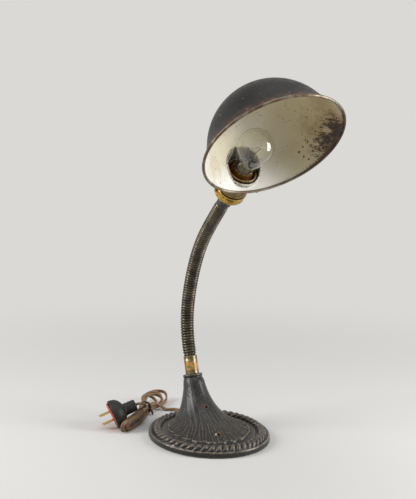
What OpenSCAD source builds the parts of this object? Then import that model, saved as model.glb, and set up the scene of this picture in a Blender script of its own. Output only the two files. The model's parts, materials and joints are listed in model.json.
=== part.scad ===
// Gooseneck desk lamp: oval cast base with an off-centre horn, wound flexible neck,
// side-mounted dome shade on a turn-key socket, bulb, cord tied in a hank, plug.
// Millimetres. Origin at the centre of the base's footprint, on the floor plane.
// +X is the lamp's front (the way the neck bends), +Z is up.

/* [Base] */
// Length of the oval base, front to back
base_l = 176; // [150:1:210]
// Width of the oval base
base_w = 155; // [130:1:190]
// Height of the plain band round the edge
band_h = 6.5; // [5.5:0.1:9]
// Wall of the casting
base_wall = 4; // [3:0.1:5]
// Height of the horn's collar above the floor
horn_z = 73.7; // [66:0.1:95]
// How far the collar stands behind the middle of the base
horn_back = 46.2; // [38:0.1:56]
// Backward lean of the collar and coupling, degrees
lean = 17; // [8:0.5:20]
// Radius of the collar
collar_r = 13; // [12:0.1:15]

/* [Neck] */
// Outside diameter of the wound neck
neck_d = 16; // [14.5:0.1:18]
// Distance from one turn of the winding to the next
pitch = 3.733; // [3.2:0.01:4.2]
// Turns in one bending length of the neck
turns = 6; // [5:1:8]
// Height of the coupling sleeve between horn and neck
coupling_h = 24.4; // [20:0.1:34]
// Outer radius of the coupling sleeve
coupling_r = 9.1; // [8.8:0.1:10]

/* [Socket] */
// Outer radius of the socket's cap
cap_r = 20; // [19:0.1:22]
// Where the cap's round edge starts, up the socket axis from the neck's end
cap_z = 22.5; // [20:0.1:26]
// Height of the cap's straight side
cap_h = 10.5; // [8:0.1:13]
// Top of the socket shell, up the socket axis from the neck's end
shell_top = 67.5; // [66:0.1:72]
// Length of the key's shaft outside the shell
key_reach = 5; // [4:0.1:9]

/* [Shade] */
// Radius of the shade's opening, over the rolled edge
shade_r = 88; // [80:0.5:96]
// Thickness of the sheet the shade is spun from
sheet = 0.9; // [0.7:0.05:1.4]
// Radius of the rolled edge
bead_r = 1.8; // [1.5:0.1:2.2]
// How far the socket's axis runs inside the opening
inset = 26; // [25.5:0.5:32]
// Radius of the collar that holds the shade on the socket
fitter_r = 21.8; // [20.5:0.1:22.2]

/* [Bulb] */
// Radius of the bulb's globe
globe_r = 22.5; // [21:0.1:24]
// Centre of the globe, up the socket axis from the neck's end
globe_z = 110.8; // [104:0.5:116]

/* [Cord] */
// Diameter of the flexible cord
cord_d = 4.8; // [4:0.1:5]
// Radius of the plug's round flange
plug_r = 19.5; // [17:0.5:21]

/* [Hidden] */
$fn = 64;
// Radial clearance of a piece that turns or slides in another
run = 0.05;
half_l = base_l / 2;
half_w = base_w / 2;
link_l = turns * pitch;
neck_r = neck_d / 2;
wire_r = pitch / 2 - 0.05;
core_r = neck_r - 1.05;
// Ball and bore of each bending length
ball_r = neck_r - 1.7;
bore_r = 3;
end_gap = 1.6;
links = 11;
// Tilt from the vertical of each bending length at rest, degrees, forwards positive
tilts = [-lean, -7, 3.5, 12, 17.5, 22.5, 27.5, 35, 41.5, 44.5, 44.4];
socket_tilt = 44.4;
// Threaded pipe used at both ends of the neck
pipe_r = 5.1;
wire = 1.5;
core = [for (a = [0:45:315]) [cos(a), sin(a)]];
// Shade: a dome that runs out into a nearly straight flare
shade_z = 142.3;
shade_turn = -89;
dome_r = shade_r * 0.892;
tangent_a = 21;
flare_r = 145;
flare_c = (dome_r + flare_r) * [cos(tangent_a), sin(tangent_a)];
key_z = 39;
key_a = 70;
shell_r = cap_r - 1;
tie_at = [-120.8, -34.1];
hank_a = -42;
exit_a = 172;
exit_z = 3.9;
plug_at = [-88, -99];
plug_a = -102;
plug_tip = 20.5;
stem_z = 33.8;

// ---- frames the pieces are placed in ----

// Top of the horn's collar, +Z along the leaning axis
module at_collar() {
  translate([-horn_back, 0, horn_z]) rotate([0, -lean, 0]) children();
}
neck_start = [-horn_back - coupling_h * sin(lean), horn_z + coupling_h * cos(lean)];
function neck_x(i) = i == 0 ? neck_start[0] : neck_x(i - 1) + link_l * sin(tilts[i - 1]);
function neck_z(i) = i == 0 ? neck_start[1] : neck_z(i - 1) + link_l * cos(tilts[i - 1]);

// Lower pivot of bending length i, +Z along it
module at_link(i) {
  translate([neck_x(i), 0, neck_z(i)]) rotate([0, tilts[i], 0]) children();
}

// Upper end of the neck, +Z along the socket axis, +X towards the shade's opening
module at_socket() {
  translate([neck_x(links), 0, neck_z(links)]) rotate([0, socket_tilt, 0]) children();
}

// Middle of the shade's opening, +Z towards the top of the dome
module at_shade() {
  at_socket() translate([inset, 0, shade_z]) rotate([0, shade_turn, 0]) children();
}

// Middle of the cord's hole in the base's edge, +Z outwards
module at_exit() {
  translate([half_l * cos(exit_a), half_w * sin(exit_a), exit_z])
    rotate([0, 90, atan2(sin(exit_a) / half_w, cos(exit_a) / half_l)])
      children();
}

// The tie on the hank, +X along the hank towards the plug
module at_tie() {
  translate([tie_at[0], tie_at[1], 0]) rotate([0, 0, hank_a]) children();
}

// Face of the plug, +Z along the prongs
module at_plug() {
  translate([plug_at[0], plug_at[1], plug_r * cos(plug_tip)])
    rotate([0, 90 + plug_tip, plug_a]) children();
}

// ---- shared shapes ----

module tube(r_out, r_in, z0, z1) {
  translate([0, 0, z0]) difference() {
    cylinder(r = r_out, h = z1 - z0);
    translate([0, 0, -1]) cylinder(r = r_in, h = z1 - z0 + 2);
  }
}

// Two insulated wires side by side, run as one flat pair
module wire_pair(z0, z1) {
  for (y = [-1, 1]) translate([0, y * (wire - 0.08), z0]) cylinder(r = wire, h = z1 - z0);
}

// A round tube swept through a list of points
function unit(v) = v / norm(v);
function along(p, i) = unit(
  i == 0 ? p[1] - p[0] : i == len(p) - 1 ? p[i] - p[i - 1]
  : unit(p[i + 1] - p[i]) + unit(p[i] - p[i - 1]));
function level(t) = unit(cross(t, abs(t[2]) > 0.9 ? [0, 1, 0] : [0, 0, 1]));
function ring(p, i, r) = let (t = along(p, i), a = level(t), b = cross(a, t))
  [for (c = core) p[i] + r * (c[0] * a + c[1] * b)];
module swept(p, r) {
  n = len(p);
  m = len(core);
  polyhedron(
    points = [for (i = [0:n - 1]) each ring(p, i, r)],
    faces = concat(
      [[for (k = [0:m - 1]) k]],
      [for (i = [0:n - 2], k = [0:m - 1], s = [0, 1]) s == 0
        ? [i * m + k, (i + 1) * m + k, (i + 1) * m + (k + 1) % m]
        : [i * m + k, (i + 1) * m + (k + 1) % m, i * m + (k + 1) % m]],
      [[for (k = [m - 1:-1:0]) (n - 1) * m + k]]));
}

// ---- base ----

// Rows of the casting's skin: height, centre, half length, half width, lean
rim_rows = [
  [0, 0, 1, 1], [band_h, 0, 1, 1], [band_h + 1.3, 0, 0.985, 0.983],
  [band_h + 1.7, 0, 0.955, 0.948], [band_h + 5, 0, 0.909, 0.903],
  [band_h + 6.3, 0, 0.852, 0.845], [band_h + 5.5, 0, 0.795, 0.787],
  [band_h + 3.1, 0, 0.727, 0.729]
];
// Shape of the horn from the edge of its fluted foot up to the collar
horn_rows = [
  [0, 0, 1, 1, 0], [0.016, 0.026, 0.95, 0.956, 0], [0.039, 0.077, 0.875, 0.882, 0],
  [0.079, 0.154, 0.781, 0.772, 0], [0.128, 0.242, 0.688, 0.637, 0],
  [0.193, 0.33, 0.594, 0.49, 0], [0.275, 0.441, 0.49, 0.368, 0],
  [0.374, 0.562, 0.375, 0.257, 0], [0.489, 0.672, 0.26, 0.172, 0],
  [0.62, 0.78, 0.16, 0.1, 0.26], [0.767, 0.868, 0.083, 0.049, 0.55],
  [0.915, 0.947, 0.029, 0.017, 0.84]
];
foot_z = band_h + 3.7;
foot_l = half_l * 0.693;
foot_w = half_w * 0.694;
neck_in = [-horn_back + 2.6 * sin(lean), horn_z - 2.6 * cos(lean)];
outer_rows = concat(
  [for (r = rim_rows) [r[0], 0, half_l * r[2], half_w * r[3], 0]],
  [for (r = horn_rows) [
    foot_z + (neck_in[1] - foot_z) * r[0], neck_in[0] * r[1],
    collar_r + (foot_l - collar_r) * r[2], collar_r + (foot_w - collar_r) * r[3],
    lean * r[4]]],
  [for (d = [[2.6, 0], [0.4, 0], [0, 0.8]]) [
    horn_z - d[0] * cos(lean), -horn_back + d[0] * sin(lean),
    collar_r - d[1], collar_r - d[1], lean]]);
function hole_row(d, r) =
  [horn_z - d * cos(lean), -horn_back + d * sin(lean), r, r, lean];
inner_horn = [for (i = [10:-1:1]) let (r = outer_rows[len(rim_rows) + i])
  [r[0] - base_wall * 1.2, r[1], r[2] - base_wall, r[3] - base_wall, r[4]]];
inner_rows = concat(
  [hole_row(0, pipe_r + 0.1), hole_row(10, pipe_r + 0.1), hole_row(10, 9)],
  inner_horn,
  [[band_h - 0.2, 0, half_l * 0.68, half_w * 0.67, 0],
   [band_h + 0.7, 0, half_l * 0.8, half_w * 0.795, 0],
   [band_h + 0.2, 0, half_l * 0.86, half_w * 0.85, 0],
   [band_h - 3.1, 0, half_l * 0.9, half_w * 0.895, 0],
   [0, 0, half_l - base_wall, half_w - base_wall, 0]]);
skin = concat(outer_rows, inner_rows);
around = 72;
function skin_ring(s) = [for (k = [0:around - 1]) let (a = 360 * k / around)
  [s[1] + s[2] * cos(a) * cos(s[4]), s[3] * sin(a), s[0] + s[2] * cos(a) * sin(s[4])]];

module casting_skin() {
  n = len(skin);
  polyhedron(
    points = [for (s = skin) each skin_ring(s)],
    faces = [for (i = [0:n - 1], k = [0:around - 1], s = [0, 1])
      let (a = i * around + k, b = i * around + (k + 1) % around,
           c = ((i + 1) % n) * around + k, d = ((i + 1) % n) * around + (k + 1) % around)
      s == 0 ? [a, c, d] : [a, d, b]]);
}

// Hollow iron casting: oval foot with a raised border, swept up into the leaning horn
module base_casting() {
  color("#2b2a28") difference() {
    casting_skin();
    // Two drilled holes down the front of the horn
    for (p = [[-4.7, -1.6, 39.8], [38.8, -7.2, 16.4]])
      translate(p) rotate([0, 35, 0]) cylinder(r = 1.6, h = 44, center = true);
    at_exit() cylinder(r = 3.15, h = 44, center = true);
  }
}

// Threaded brass pipe that joins the horn to the coupling and carries the wires
module horn_nipple() {
  color("#b08d3f") at_collar() tube(pipe_r, bore_r, -22, 13);
}

// Hexagon nut on the nipple, inside the horn
module nipple_locknut() {
  color("#6d6a64") at_collar() difference() {
    translate([0, 0, -13.5]) cylinder(r = 8, h = 3.5, $fn = 6);
    translate([0, 0, -15]) cylinder(r = pipe_r + run, h = 8);
  }
}

// Sleeve between the horn and the neck
module lower_coupling() {
  color("#8a7d66") at_collar() difference() {
    cylinder(r1 = coupling_r, r2 = coupling_r - 0.2, h = coupling_h);
    translate([0, 0, -1]) cylinder(r = pipe_r + run, h = 15);
    translate([0, 0, 12]) cylinder(r = bore_r + 0.1, h = coupling_h);
    translate([0, 0, coupling_h - 7.4]) cylinder(r = core_r + run, h = 9);
  }
}

// Fibre bushing in the edge of the base, round the cord
module cord_bushing() {
  color("#3a1f14") at_exit() difference() {
    union() {
      translate([0, 0, -13]) cylinder(r = 3.1, h = 14);
      translate([0, 0, 0.05]) cylinder(r = 3.7, h = 2);
    }
    translate([0, 0, -14]) cylinder(r = cord_d / 2 + run, h = 18);
  }
}

exit_n = [cos(170.8), sin(170.8), 0];
exit_p = [half_l * cos(exit_a), half_w * sin(exit_a), exit_z];

// Cord inside the base, from the bushing up into the horn
module base_cord() {
  top = [-horn_back + 23 * sin(lean), 0, horn_z - 23 * cos(lean)];
  up = [-sin(lean), 0, cos(lean)];
  color("#7a5a3c") swept([
    exit_p + exit_n * 2, exit_p - exit_n * 7, exit_p - exit_n * 14, exit_p - exit_n * 20 - [0, 0, 0.7],
    exit_p - exit_n * 28 - [0, 0.4, 0.9], [-foot_l * 0.82, 5, 4.4],
    [-foot_l * 0.5 - 14.5, 3.6, 12], [-foot_l * 0.25 - 26.5, 2, 22],
    [(top[0] - 42) / 2, 0.8, top[2] * 0.63], top - up * 9, top - up * 3, top], cord_d / 2 - 0.02);
}

// ---- neck ----

// One bending length of the wound neck: turns of wire on a core, a seat below, a ball above
module link(i) {
  first = i == 0;
  last = i == links - 1;
  at_link(i) rotate_extrude() difference() {
    union() {
      translate([bore_r, first ? -6 : end_gap])
        square([core_r - bore_r,
                link_l - (first ? -6 : end_gap) + (last ? 6 : -end_gap)]);
      intersection() {
        for (k = [0:turns - 1])
          translate([neck_r - wire_r, (k + 0.5) * pitch]) circle(r = wire_r);
        translate([bore_r, first ? 0 : end_gap])
          square([neck_r, link_l - (first ? 0 : end_gap) - (last ? 0 : end_gap)]);
      }
      if (!last) intersection() {
        translate([0, link_l]) circle(r = ball_r);
        translate([bore_r, link_l - end_gap - 0.5]) square([neck_r, 20]);
      }
    }
    if (!first) circle(r = ball_r + run);
    // The ball's bore opens upwards, so that the next length's wires clear it when bent
    if (!last) translate([0, link_l]) polygon([[0, 0], [bore_r, 0], [bore_r + 3, 10], [0, 10]]);
  }
}

// The pair of wires in one bending length
module link_wires(i) {
  at_link(i) wire_pair(0.8, i == links - 1 ? link_l + 18.5 : link_l - 0.8);
}

module neck_link_01() { color("#8d867a") link(0); }
module neck_link_02() { color("#8d867a") link(1); }
module neck_link_03() { color("#8d867a") link(2); }
module neck_link_04() { color("#8d867a") link(3); }
module neck_link_05() { color("#8d867a") link(4); }
module neck_link_06() { color("#8d867a") link(5); }
module neck_link_07() { color("#8d867a") link(6); }
module neck_link_08() { color("#8d867a") link(7); }
module neck_link_09() { color("#8d867a") link(8); }
module neck_link_10() { color("#8d867a") link(9); }
module neck_link_11() { color("#8d867a") link(10); }

// The first length of wires starts where the cord ends, inside the horn
module neck_wire_01() {
  color("#6b4a2c") at_collar() wire_pair(-23, coupling_h + link_l - 0.8);
}
module neck_wire_02() { color("#6b4a2c") link_wires(1); }
module neck_wire_03() { color("#6b4a2c") link_wires(2); }
module neck_wire_04() { color("#6b4a2c") link_wires(3); }
module neck_wire_05() { color("#6b4a2c") link_wires(4); }
module neck_wire_06() { color("#6b4a2c") link_wires(5); }
module neck_wire_07() { color("#6b4a2c") link_wires(6); }
module neck_wire_08() { color("#6b4a2c") link_wires(7); }
module neck_wire_09() { color("#6b4a2c") link_wires(8); }
module neck_wire_10() { color("#6b4a2c") link_wires(9); }
module neck_wire_11() { color("#6b4a2c") link_wires(10); }

// ---- socket ----

// Sleeve on the neck's upper end, with a threaded spigot for the socket's cap
module upper_ferrule() {
  color("#4b5157") at_socket() difference() {
    union() {
      cylinder(r = neck_r + 0.3, h = 12);
      translate([0, 0, 11]) cylinder(r = pipe_r, h = 8);
    }
    translate([0, 0, -1]) cylinder(r = bore_r + run, h = 22);
    translate([0, 0, -1]) cylinder(r = core_r + run, h = 8);
    translate([0, 0, 4]) rotate([90, 0, -53]) translate([0, 0, -12]) cylinder(r = 1.5, h = 12);
  }
}

// Grub screw that clamps the ferrule on the neck
module ferrule_screw() {
  color("#8a5a32") at_socket() translate([0, 0, 4]) rotate([90, 0, -53])
    translate([0, 0, -neck_r - 1.6]) {
      translate([0, 0, 0]) cylinder(r = 1.45, h = neck_r + 1.6 - core_r);
    }
}

cap_low = cap_z - 10.5;
// Brass cap that closes the lower end of the socket
module socket_cap() {
  color("#c9a24a") at_socket() difference() {
    rotate_extrude() polygon([
      [pipe_r + run, cap_low], [8, cap_low], [8, cap_low + 2.5], [cap_r - 7, cap_low + 5],
      [cap_r - 2.5, cap_low + 7.5], [cap_r, cap_low + 11], [cap_r, cap_z + cap_h],
      [shell_r + run, cap_z + cap_h], [shell_r + run, cap_low + 11.6],
      [cap_r - 3.2, cap_low + 8.7], [cap_r - 7.5, cap_low + 6.3], [pipe_r + run, cap_low + 4.2]]);
    for (a = [-36, -54]) translate([0, 0, cap_z + 7.3]) rotate([0, 90, a])
      translate([0, 0, shell_r - 1]) cylinder(r = 0.7, h = 4);
    translate([0, 0, cap_z + 5]) rotate([0, 90, -95])
      translate([0, 0, shell_r - 1]) cylinder(r = 1.2, h = 4);
  }
}

// Small screw through the side of the cap
module cap_screw() {
  color("#8d6f30") at_socket() translate([0, 0, cap_z + 5]) rotate([0, 90, -95]) {
    translate([0, 0, shell_r + 0.1]) cylinder(r = 1.15, h = cap_r - shell_r);
    translate([0, 0, cap_r]) cylinder(r = 2, h = 1.2);
  }
}

// Brass shell of the socket, pushed into the cap, with a turned-in top edge
module socket_shell() {
  color("#a98a4b") at_socket() difference() {
    union() {
      tube(shell_r, shell_r - 1, cap_z + 5.5, shell_top);
      tube(shell_r - 0.5, shell_r - 2.2, shell_top - 1, shell_top);
    }
    translate([0, 0, key_z]) rotate([0, 90, key_a]) cylinder(r = 2.4, h = 40);
  }
}

// Card tube that insulates the shell from the works
module shell_liner() {
  color("#8f8468") at_socket() difference() {
    tube(shell_r - 1 - run, shell_r - 1.6, cap_z + 7.5, shell_top - 3.5);
    translate([0, 0, key_z]) rotate([0, 90, key_a]) cylinder(r = 2.6, h = 40);
  }
}

works_r = shell_r - 1.6 - run;
// Moulded body that carries the contacts and the switch
module socket_insulator() {
  color("#e6e0d0") at_socket() difference() {
    translate([0, 0, 33]) cylinder(r = works_r, h = 11.5);
    translate([0, 0, key_z]) rotate([0, 90, key_a]) translate([0, 0, -8]) cylinder(r = 2 + run, h = 40);
    for (x = [-9, 9]) translate([x, 0, 32]) cylinder(r = 1.5, h = 5);
    translate([0, 0, 42.4]) cylinder(r = 1.5, h = 4);
  }
}

// Screws that clamp the two wires under the body
module terminal_screws() {
  color("#b79a52") at_socket() for (x = [-9, 9]) translate([x, 0, 0]) {
    translate([0, 0, 31]) cylinder(r = 2.8, h = 2);
    translate([0, 0, 33]) cylinder(r = 1.45, h = 3.8);
  }
}

// The two bared wires, spread from the neck to the terminal screws
module socket_leads() {
  color("#b5693a") at_socket() for (s = [-1, 1])
    swept([[0, s * 1.4, 19], [s * 1.2, s * 1.4, 21.5], [s * 5.2, s * 1, 25.5],
           [s * 8.4, s * 0.3, 28], [s * 9, 0, 31]], 0.9);
}

// Threaded brass shell that the bulb screws into
module screw_shell() {
  color("#c2a15a") at_socket() rotate_extrude() difference() {
    union() {
      translate([13.5, 44.5]) square([0.5, shell_top - 45.5]);
      for (k = [0:4]) translate([13.6, 48.5 + k * 3.6]) circle(r = 1.1);
      translate([13.5, 44.5]) square([3, 0.6]);
    }
    square([13.5, 90]);
  }
}

// Spring tongue under the bulb's tip, riveted to the body
module centre_contact() {
  color("#c2a15a") at_socket() {
    translate([0, 0, 44.5]) cylinder(r = 4.5, h = 1.2);
    translate([0, 0, 42.5]) cylinder(r = 1.45, h = 2.2);
  }
}

// Steel shaft of the turn switch
module switch_shaft() {
  color("#8b8984") at_socket() translate([0, 0, key_z]) rotate([0, 90, key_a])
    translate([0, 0, -7.5]) cylinder(r = 2, h = 7.5 + shell_r + key_reach + 5);
}

// Moulded key pressed on the end of the shaft
module switch_key() {
  color("#1d1916") at_socket() translate([0, 0, key_z]) rotate([0, 90, key_a]) difference() {
    union() {
      translate([0, 0, shell_r + key_reach]) cylinder(r = 3.2, h = 3);
      translate([-4.5, -1.9, shell_r + key_reach + 2]) cube([9, 3.8, 7.5]);
    }
    translate([0, 0, shell_r + key_reach - 1]) cylinder(r = 2, h = 6);
  }
}

// ---- bulb ----

neck_low = 69;
bend = [12.2, 75];
reach = norm(bend - [0, globe_z]);
tan_a = atan2(bend[1] - globe_z, bend[0]) + acos(globe_r / reach);
function bulb_line(t) = [[0, neck_low], [bend[0] - t, neck_low], [bend[0] - t, bend[1]],
  [(globe_r - t) * cos(tan_a), globe_z + (globe_r - t) * sin(tan_a)],
  [0, globe_z]];

// Clear glass envelope
module bulb_glass() {
  color("#dfe6e6", 0.3) at_socket() rotate_extrude() difference() {
    union() {
      polygon(bulb_line(0));
      intersection() {
        translate([0, globe_z]) circle(r = globe_r);
        translate([0, globe_z - globe_r]) square([globe_r + 1, 2 * globe_r + 1]);
      }
    }
    union() {
      translate([0, -0.5]) polygon(bulb_line(0.7));
      translate([0, globe_z]) circle(r = globe_r - 0.7);
    }
  }
}

// Brass screw base of the bulb
module bulb_base() {
  color("#b99a55") at_socket() rotate_extrude() difference() {
    union() {
      translate([12.25, 50]) square([0.5, 21.5]);
      for (k = [0:3]) translate([12.3, 53.2 + k * 3.6]) circle(r = 1.05);
    }
    square([12.25, 90]);
  }
}

// Glass insulator at the tip of the base
module bulb_insulator() {
  color("#1b1a1c") at_socket() difference() {
    union() {
      translate([0, 0, 46.9]) cylinder(r1 = 5, r2 = 12.7, h = 3.1);
      translate([0, 0, 49.9]) cylinder(r = 12.2, h = 1.6);
    }
    translate([0, 0, 46]) cylinder(r = 1.6, h = 9);
  }
}

// Solder contact at the tip
module bulb_contact() {
  color("#9c9c98") at_socket() {
    translate([0, 0, 45.7]) cylinder(r = 4.2, h = 1.2);
    translate([0, 0, 46.5]) cylinder(r = 1.55, h = 3);
  }
}

// Glass mount fused into the neck of the envelope
module bulb_stem() {
  color("#dfe6e6", 0.4) at_socket() {
    translate([0, 0, 70.5]) cylinder(r = bend[0] - 0.75, h = 1.4);
    translate([0, 0, 71.8]) cylinder(r1 = 8.5, r2 = 3, h = 8.2);
    translate([0, 0, 79.5]) cylinder(r = 3, h = 11.5);
  }
}

// Support wires that hold the filament
module bulb_leads() {
  color("#7a6a5a") at_socket() for (s = [-1, 1])
    translate([0, s * 1.6, 91]) rotate([-s * 24, 0, 0]) cylinder(r = 0.4, h = 18);
}

// Fine wire across the two supports
module bulb_filament() {
  y = 1.6 + 18 * sin(24);
  color("#55504a") at_socket() translate([0, -y - 0.6, 91 + 18 * cos(24) + 0.42])
    rotate([-90, 0, 0]) cylinder(r = 0.25, h = 2 * y + 1.2);
}

// ---- shade ----

// Outer radius of the shade at a depth above its opening
function wall(d) = d < dome_r * sin(tangent_a)
  ? flare_c[0] - sqrt(pow(flare_r, 2) - pow(flare_c[1] - d, 2)) : sqrt(pow(dome_r, 2) - d * d);
rim_x = wall(0) - sheet / 2;
bead_x = rim_x + 0.2;

// Round upper part of the dome
module dome_section() {
  intersection() {
    difference() {
      circle(r = dome_r, $fn = 120);
      circle(r = dome_r - sheet, $fn = 120);
    }
    polygon([[0, 0], 200 * [cos(tangent_a), sin(tangent_a)], [200, 200], [0, 200]]);
  }
}

// Lower part, curving out to the rim
module flare_section() {
  intersection() {
    translate(flare_c) difference() {
      circle(r = flare_r + sheet, $fn = 120);
      circle(r = flare_r, $fn = 120);
    }
    polygon([[0, 0], [200, 0], 200 * [cos(tangent_a), sin(tangent_a)]]);
    square([flare_c[0], 80]);
  }
}

module fitter_hole() {
  at_socket() rotate([0, 0, 37]) cylinder(r = fitter_r + run, h = shade_z);
}

// Spun sheet-steel dome with a hole in its side for the socket
module shade_shell() {
  color("#2a2523") {
    difference() {
      at_shade() rotate_extrude() dome_section();
      fitter_hole();
      // Small drilled hole high on the side
      at_shade() rotate([0, 0, -47]) rotate([0, 67, 0]) cylinder(r = 1.2, h = 120);
    }
    difference() {
      at_shade() rotate_extrude() flare_section();
      fitter_hole();
      at_shade() rotate_extrude() translate([bead_x, 0]) circle(r = bead_r);
    }
  }
}

// Edge of the sheet rolled round a wire
module shade_bead() {
  color("#6d6057") at_shade() rotate_extrude() translate([bead_x, 0]) circle(r = bead_r);
}

// Slope of the wall across the hole, used to trim the collar flush with the inside
near_d = inset - fitter_r;
far_d = inset + fitter_r;
wall_k = (wall(far_d) - wall(near_d)) / (far_d - near_d);
wall_0 = wall(near_d) - sheet - wall_k * near_d;

// Sheet collar in the shade's hole, split to grip the socket shell
module shade_collar() {
  color("#8d8b84") difference() {
    at_socket() difference() {
      union() {
        tube(fitter_r, fitter_r - 0.8, 51, 100);
        tube(fitter_r, shell_r + run, 51, 51.9);
        tube(shell_r + 0.9, shell_r + run, 47, 51.9);
      }
      rotate([0, 0, 205]) translate([0, -1, 40]) cube([40, 2, 80]);
    }
    at_shade() translate([0, 0, -5]) cylinder(r1 = wall_0 - wall_k * 5, r2 = wall_0 + wall_k * 60, h = 65);
  }
}

// ---- cord and plug ----

hank_u = [cos(hank_a), sin(hank_a), 0];
hank_v = [-sin(hank_a), cos(hank_a), 0];
function hank_p(x, y, z) = [tie_at[0], tie_at[1], z] + x * hank_u + y * hank_v;

// Cord along the floor from the base to the hank
module cord_lead() {
  e = exit_p + exit_n * 2.05;
  z = cord_d / 2 + 0.1;
  color("#8a6440") swept([
    e, e + exit_n * 4, [exit_p[0] - 11, 12.4, (z + exit_z) / 2], [-106, 12.6, z], [-114, 10.8, z],
    hank_p(-21, 24.5, z), hank_p(-24, 19.5, z), hank_p(-25, 15.02, z)], cord_d / 2);
}

// The folded loops of the hank, as one flat bundle with a waist at the tie
module cord_hank() {
  color("#8a6440") at_tie() {
    translate([8, -7.5, 0]) cube([42, 15, 18]);
    translate([49, -3.6, 0]) cube([35, 11.1, 17.5]);
    translate([84, 1.95, 0]) cylinder(r = 5.55, h = 15);
    // The shortest loop, beside the plug
    translate([49, -7.5, 0]) cube([10, 15, 13.5]);
    translate([-60, -15, 0]) cube([52, 30, 18]);
    translate([-60, 0, 0]) cylinder(r = 15, h = 18);
    translate([-9, -6.5, 1.6]) cube([18, 13, 13]);
  }
}

// Black tie round the waist of the hank, its ends twisted together at one side
module cord_tie() {
  color("#15130f") at_tie() {
    difference() {
      translate([-2.5, -8, 0]) cube([5, 16, 16.2]);
      translate([-3, -6.5, 1.6]) cube([6, 13, 13]);
    }
    translate([-3, 7.5, 0]) cube([6, 5, 8]);
  }
}

// Cord from the hank up to the plug
module cord_tail() {
  n = [cos(plug_a) * cos(plug_tip), sin(plug_a) * cos(plug_tip), -sin(plug_tip)];
  s = [plug_at[0], plug_at[1], plug_r * cos(plug_tip)] - (stem_z + 0.05) * n;
  color("#8a6440") swept([
    s, s - n * 4, s + [1.4, 8.5, 1.6], s + [-0.4, 13.3, -0.6], s + [-4, 16, -5],
    hank_p(41, 4, 21.4), hank_p(39, 3, 17.6)], cord_d / 2);
}

prong_x = [-6.35, 6.35];
// Slots for the two blades, side by side with their flat faces parallel
module prong_slots() {
  for (x = prong_x) translate([x - 0.8, -3.2, -9]) cube([1.6, 6.4, 12]);
}

// Moulded body of the plug: a round cap narrowing to a stem
module plug_body() {
  color("#191715") at_plug() difference() {
    rotate_extrude() polygon([
      [0, -stem_z], [7.6, -stem_z], [8, -33], [8.3, -18.5], [9.2, -17.1], [12.5, -15.6],
      [plug_r - 3.4, -12.8], [plug_r - 0.7, -8.1], [plug_r + 0.3, -3.6], [plug_r, 0],
      [plug_r - 2, 0], [plug_r - 2, -2], [0, -2]]);
    prong_slots();
  }
}

// Fibre disc over the plug's face
module plug_disc() {
  color("#a8482a") at_plug() difference() {
    translate([0, 0, -1.2]) cylinder(r = plug_r - 2.2, h = 1.4);
    prong_slots();
  }
}

// Two folded brass blades
module plug_prongs() {
  color("#c9a24a") at_plug() for (x = prong_x)
    translate([x - 0.75, -3.15, -8.9]) cube([1.5, 6.3, 26.4]);
}

base_casting();
horn_nipple();
nipple_locknut();
lower_coupling();
cord_bushing();
base_cord();
neck_link_01();
neck_link_02();
neck_link_03();
neck_link_04();
neck_link_05();
neck_link_06();
neck_link_07();
neck_link_08();
neck_link_09();
neck_link_10();
neck_link_11();
neck_wire_01();
neck_wire_02();
neck_wire_03();
neck_wire_04();
neck_wire_05();
neck_wire_06();
neck_wire_07();
neck_wire_08();
neck_wire_09();
neck_wire_10();
neck_wire_11();
upper_ferrule();
ferrule_screw();
socket_cap();
cap_screw();
socket_shell();
shell_liner();
socket_insulator();
terminal_screws();
socket_leads();
screw_shell();
centre_contact();
switch_shaft();
switch_key();
bulb_glass();
bulb_base();
bulb_insulator();
bulb_contact();
bulb_stem();
bulb_leads();
bulb_filament();
shade_shell();
shade_bead();
shade_collar();
cord_lead();
cord_hank();
cord_tie();
cord_tail();
plug_body();
plug_disc();
plug_prongs();
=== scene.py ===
import bmesh, bpy, json, math
import numpy as np
from mathutils import Matrix

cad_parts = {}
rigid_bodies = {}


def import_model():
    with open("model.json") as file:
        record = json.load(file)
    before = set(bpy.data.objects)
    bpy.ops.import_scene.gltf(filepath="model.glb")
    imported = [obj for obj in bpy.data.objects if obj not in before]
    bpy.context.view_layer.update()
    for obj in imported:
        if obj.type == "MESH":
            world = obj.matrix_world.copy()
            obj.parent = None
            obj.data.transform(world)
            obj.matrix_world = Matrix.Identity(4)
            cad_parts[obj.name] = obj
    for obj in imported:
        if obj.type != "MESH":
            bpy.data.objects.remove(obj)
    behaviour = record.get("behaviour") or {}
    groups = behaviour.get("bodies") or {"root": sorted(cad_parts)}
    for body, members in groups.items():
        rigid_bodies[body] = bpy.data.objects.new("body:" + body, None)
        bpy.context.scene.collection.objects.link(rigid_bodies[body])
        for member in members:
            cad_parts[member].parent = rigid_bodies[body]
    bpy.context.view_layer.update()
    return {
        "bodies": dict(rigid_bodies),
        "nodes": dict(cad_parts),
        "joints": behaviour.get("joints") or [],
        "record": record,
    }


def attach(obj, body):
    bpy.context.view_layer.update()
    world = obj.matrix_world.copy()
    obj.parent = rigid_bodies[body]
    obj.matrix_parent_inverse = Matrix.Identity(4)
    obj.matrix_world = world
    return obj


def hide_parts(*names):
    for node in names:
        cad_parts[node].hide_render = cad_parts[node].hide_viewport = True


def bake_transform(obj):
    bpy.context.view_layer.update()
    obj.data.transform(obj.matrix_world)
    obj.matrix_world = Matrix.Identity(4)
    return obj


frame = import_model()

# ---------------------------------------------------------------- camera
# A long-lens view from the lamp's front right, ten degrees above level and aimed at the middle of its
# neck, with the frame turned by half a degree.

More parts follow.
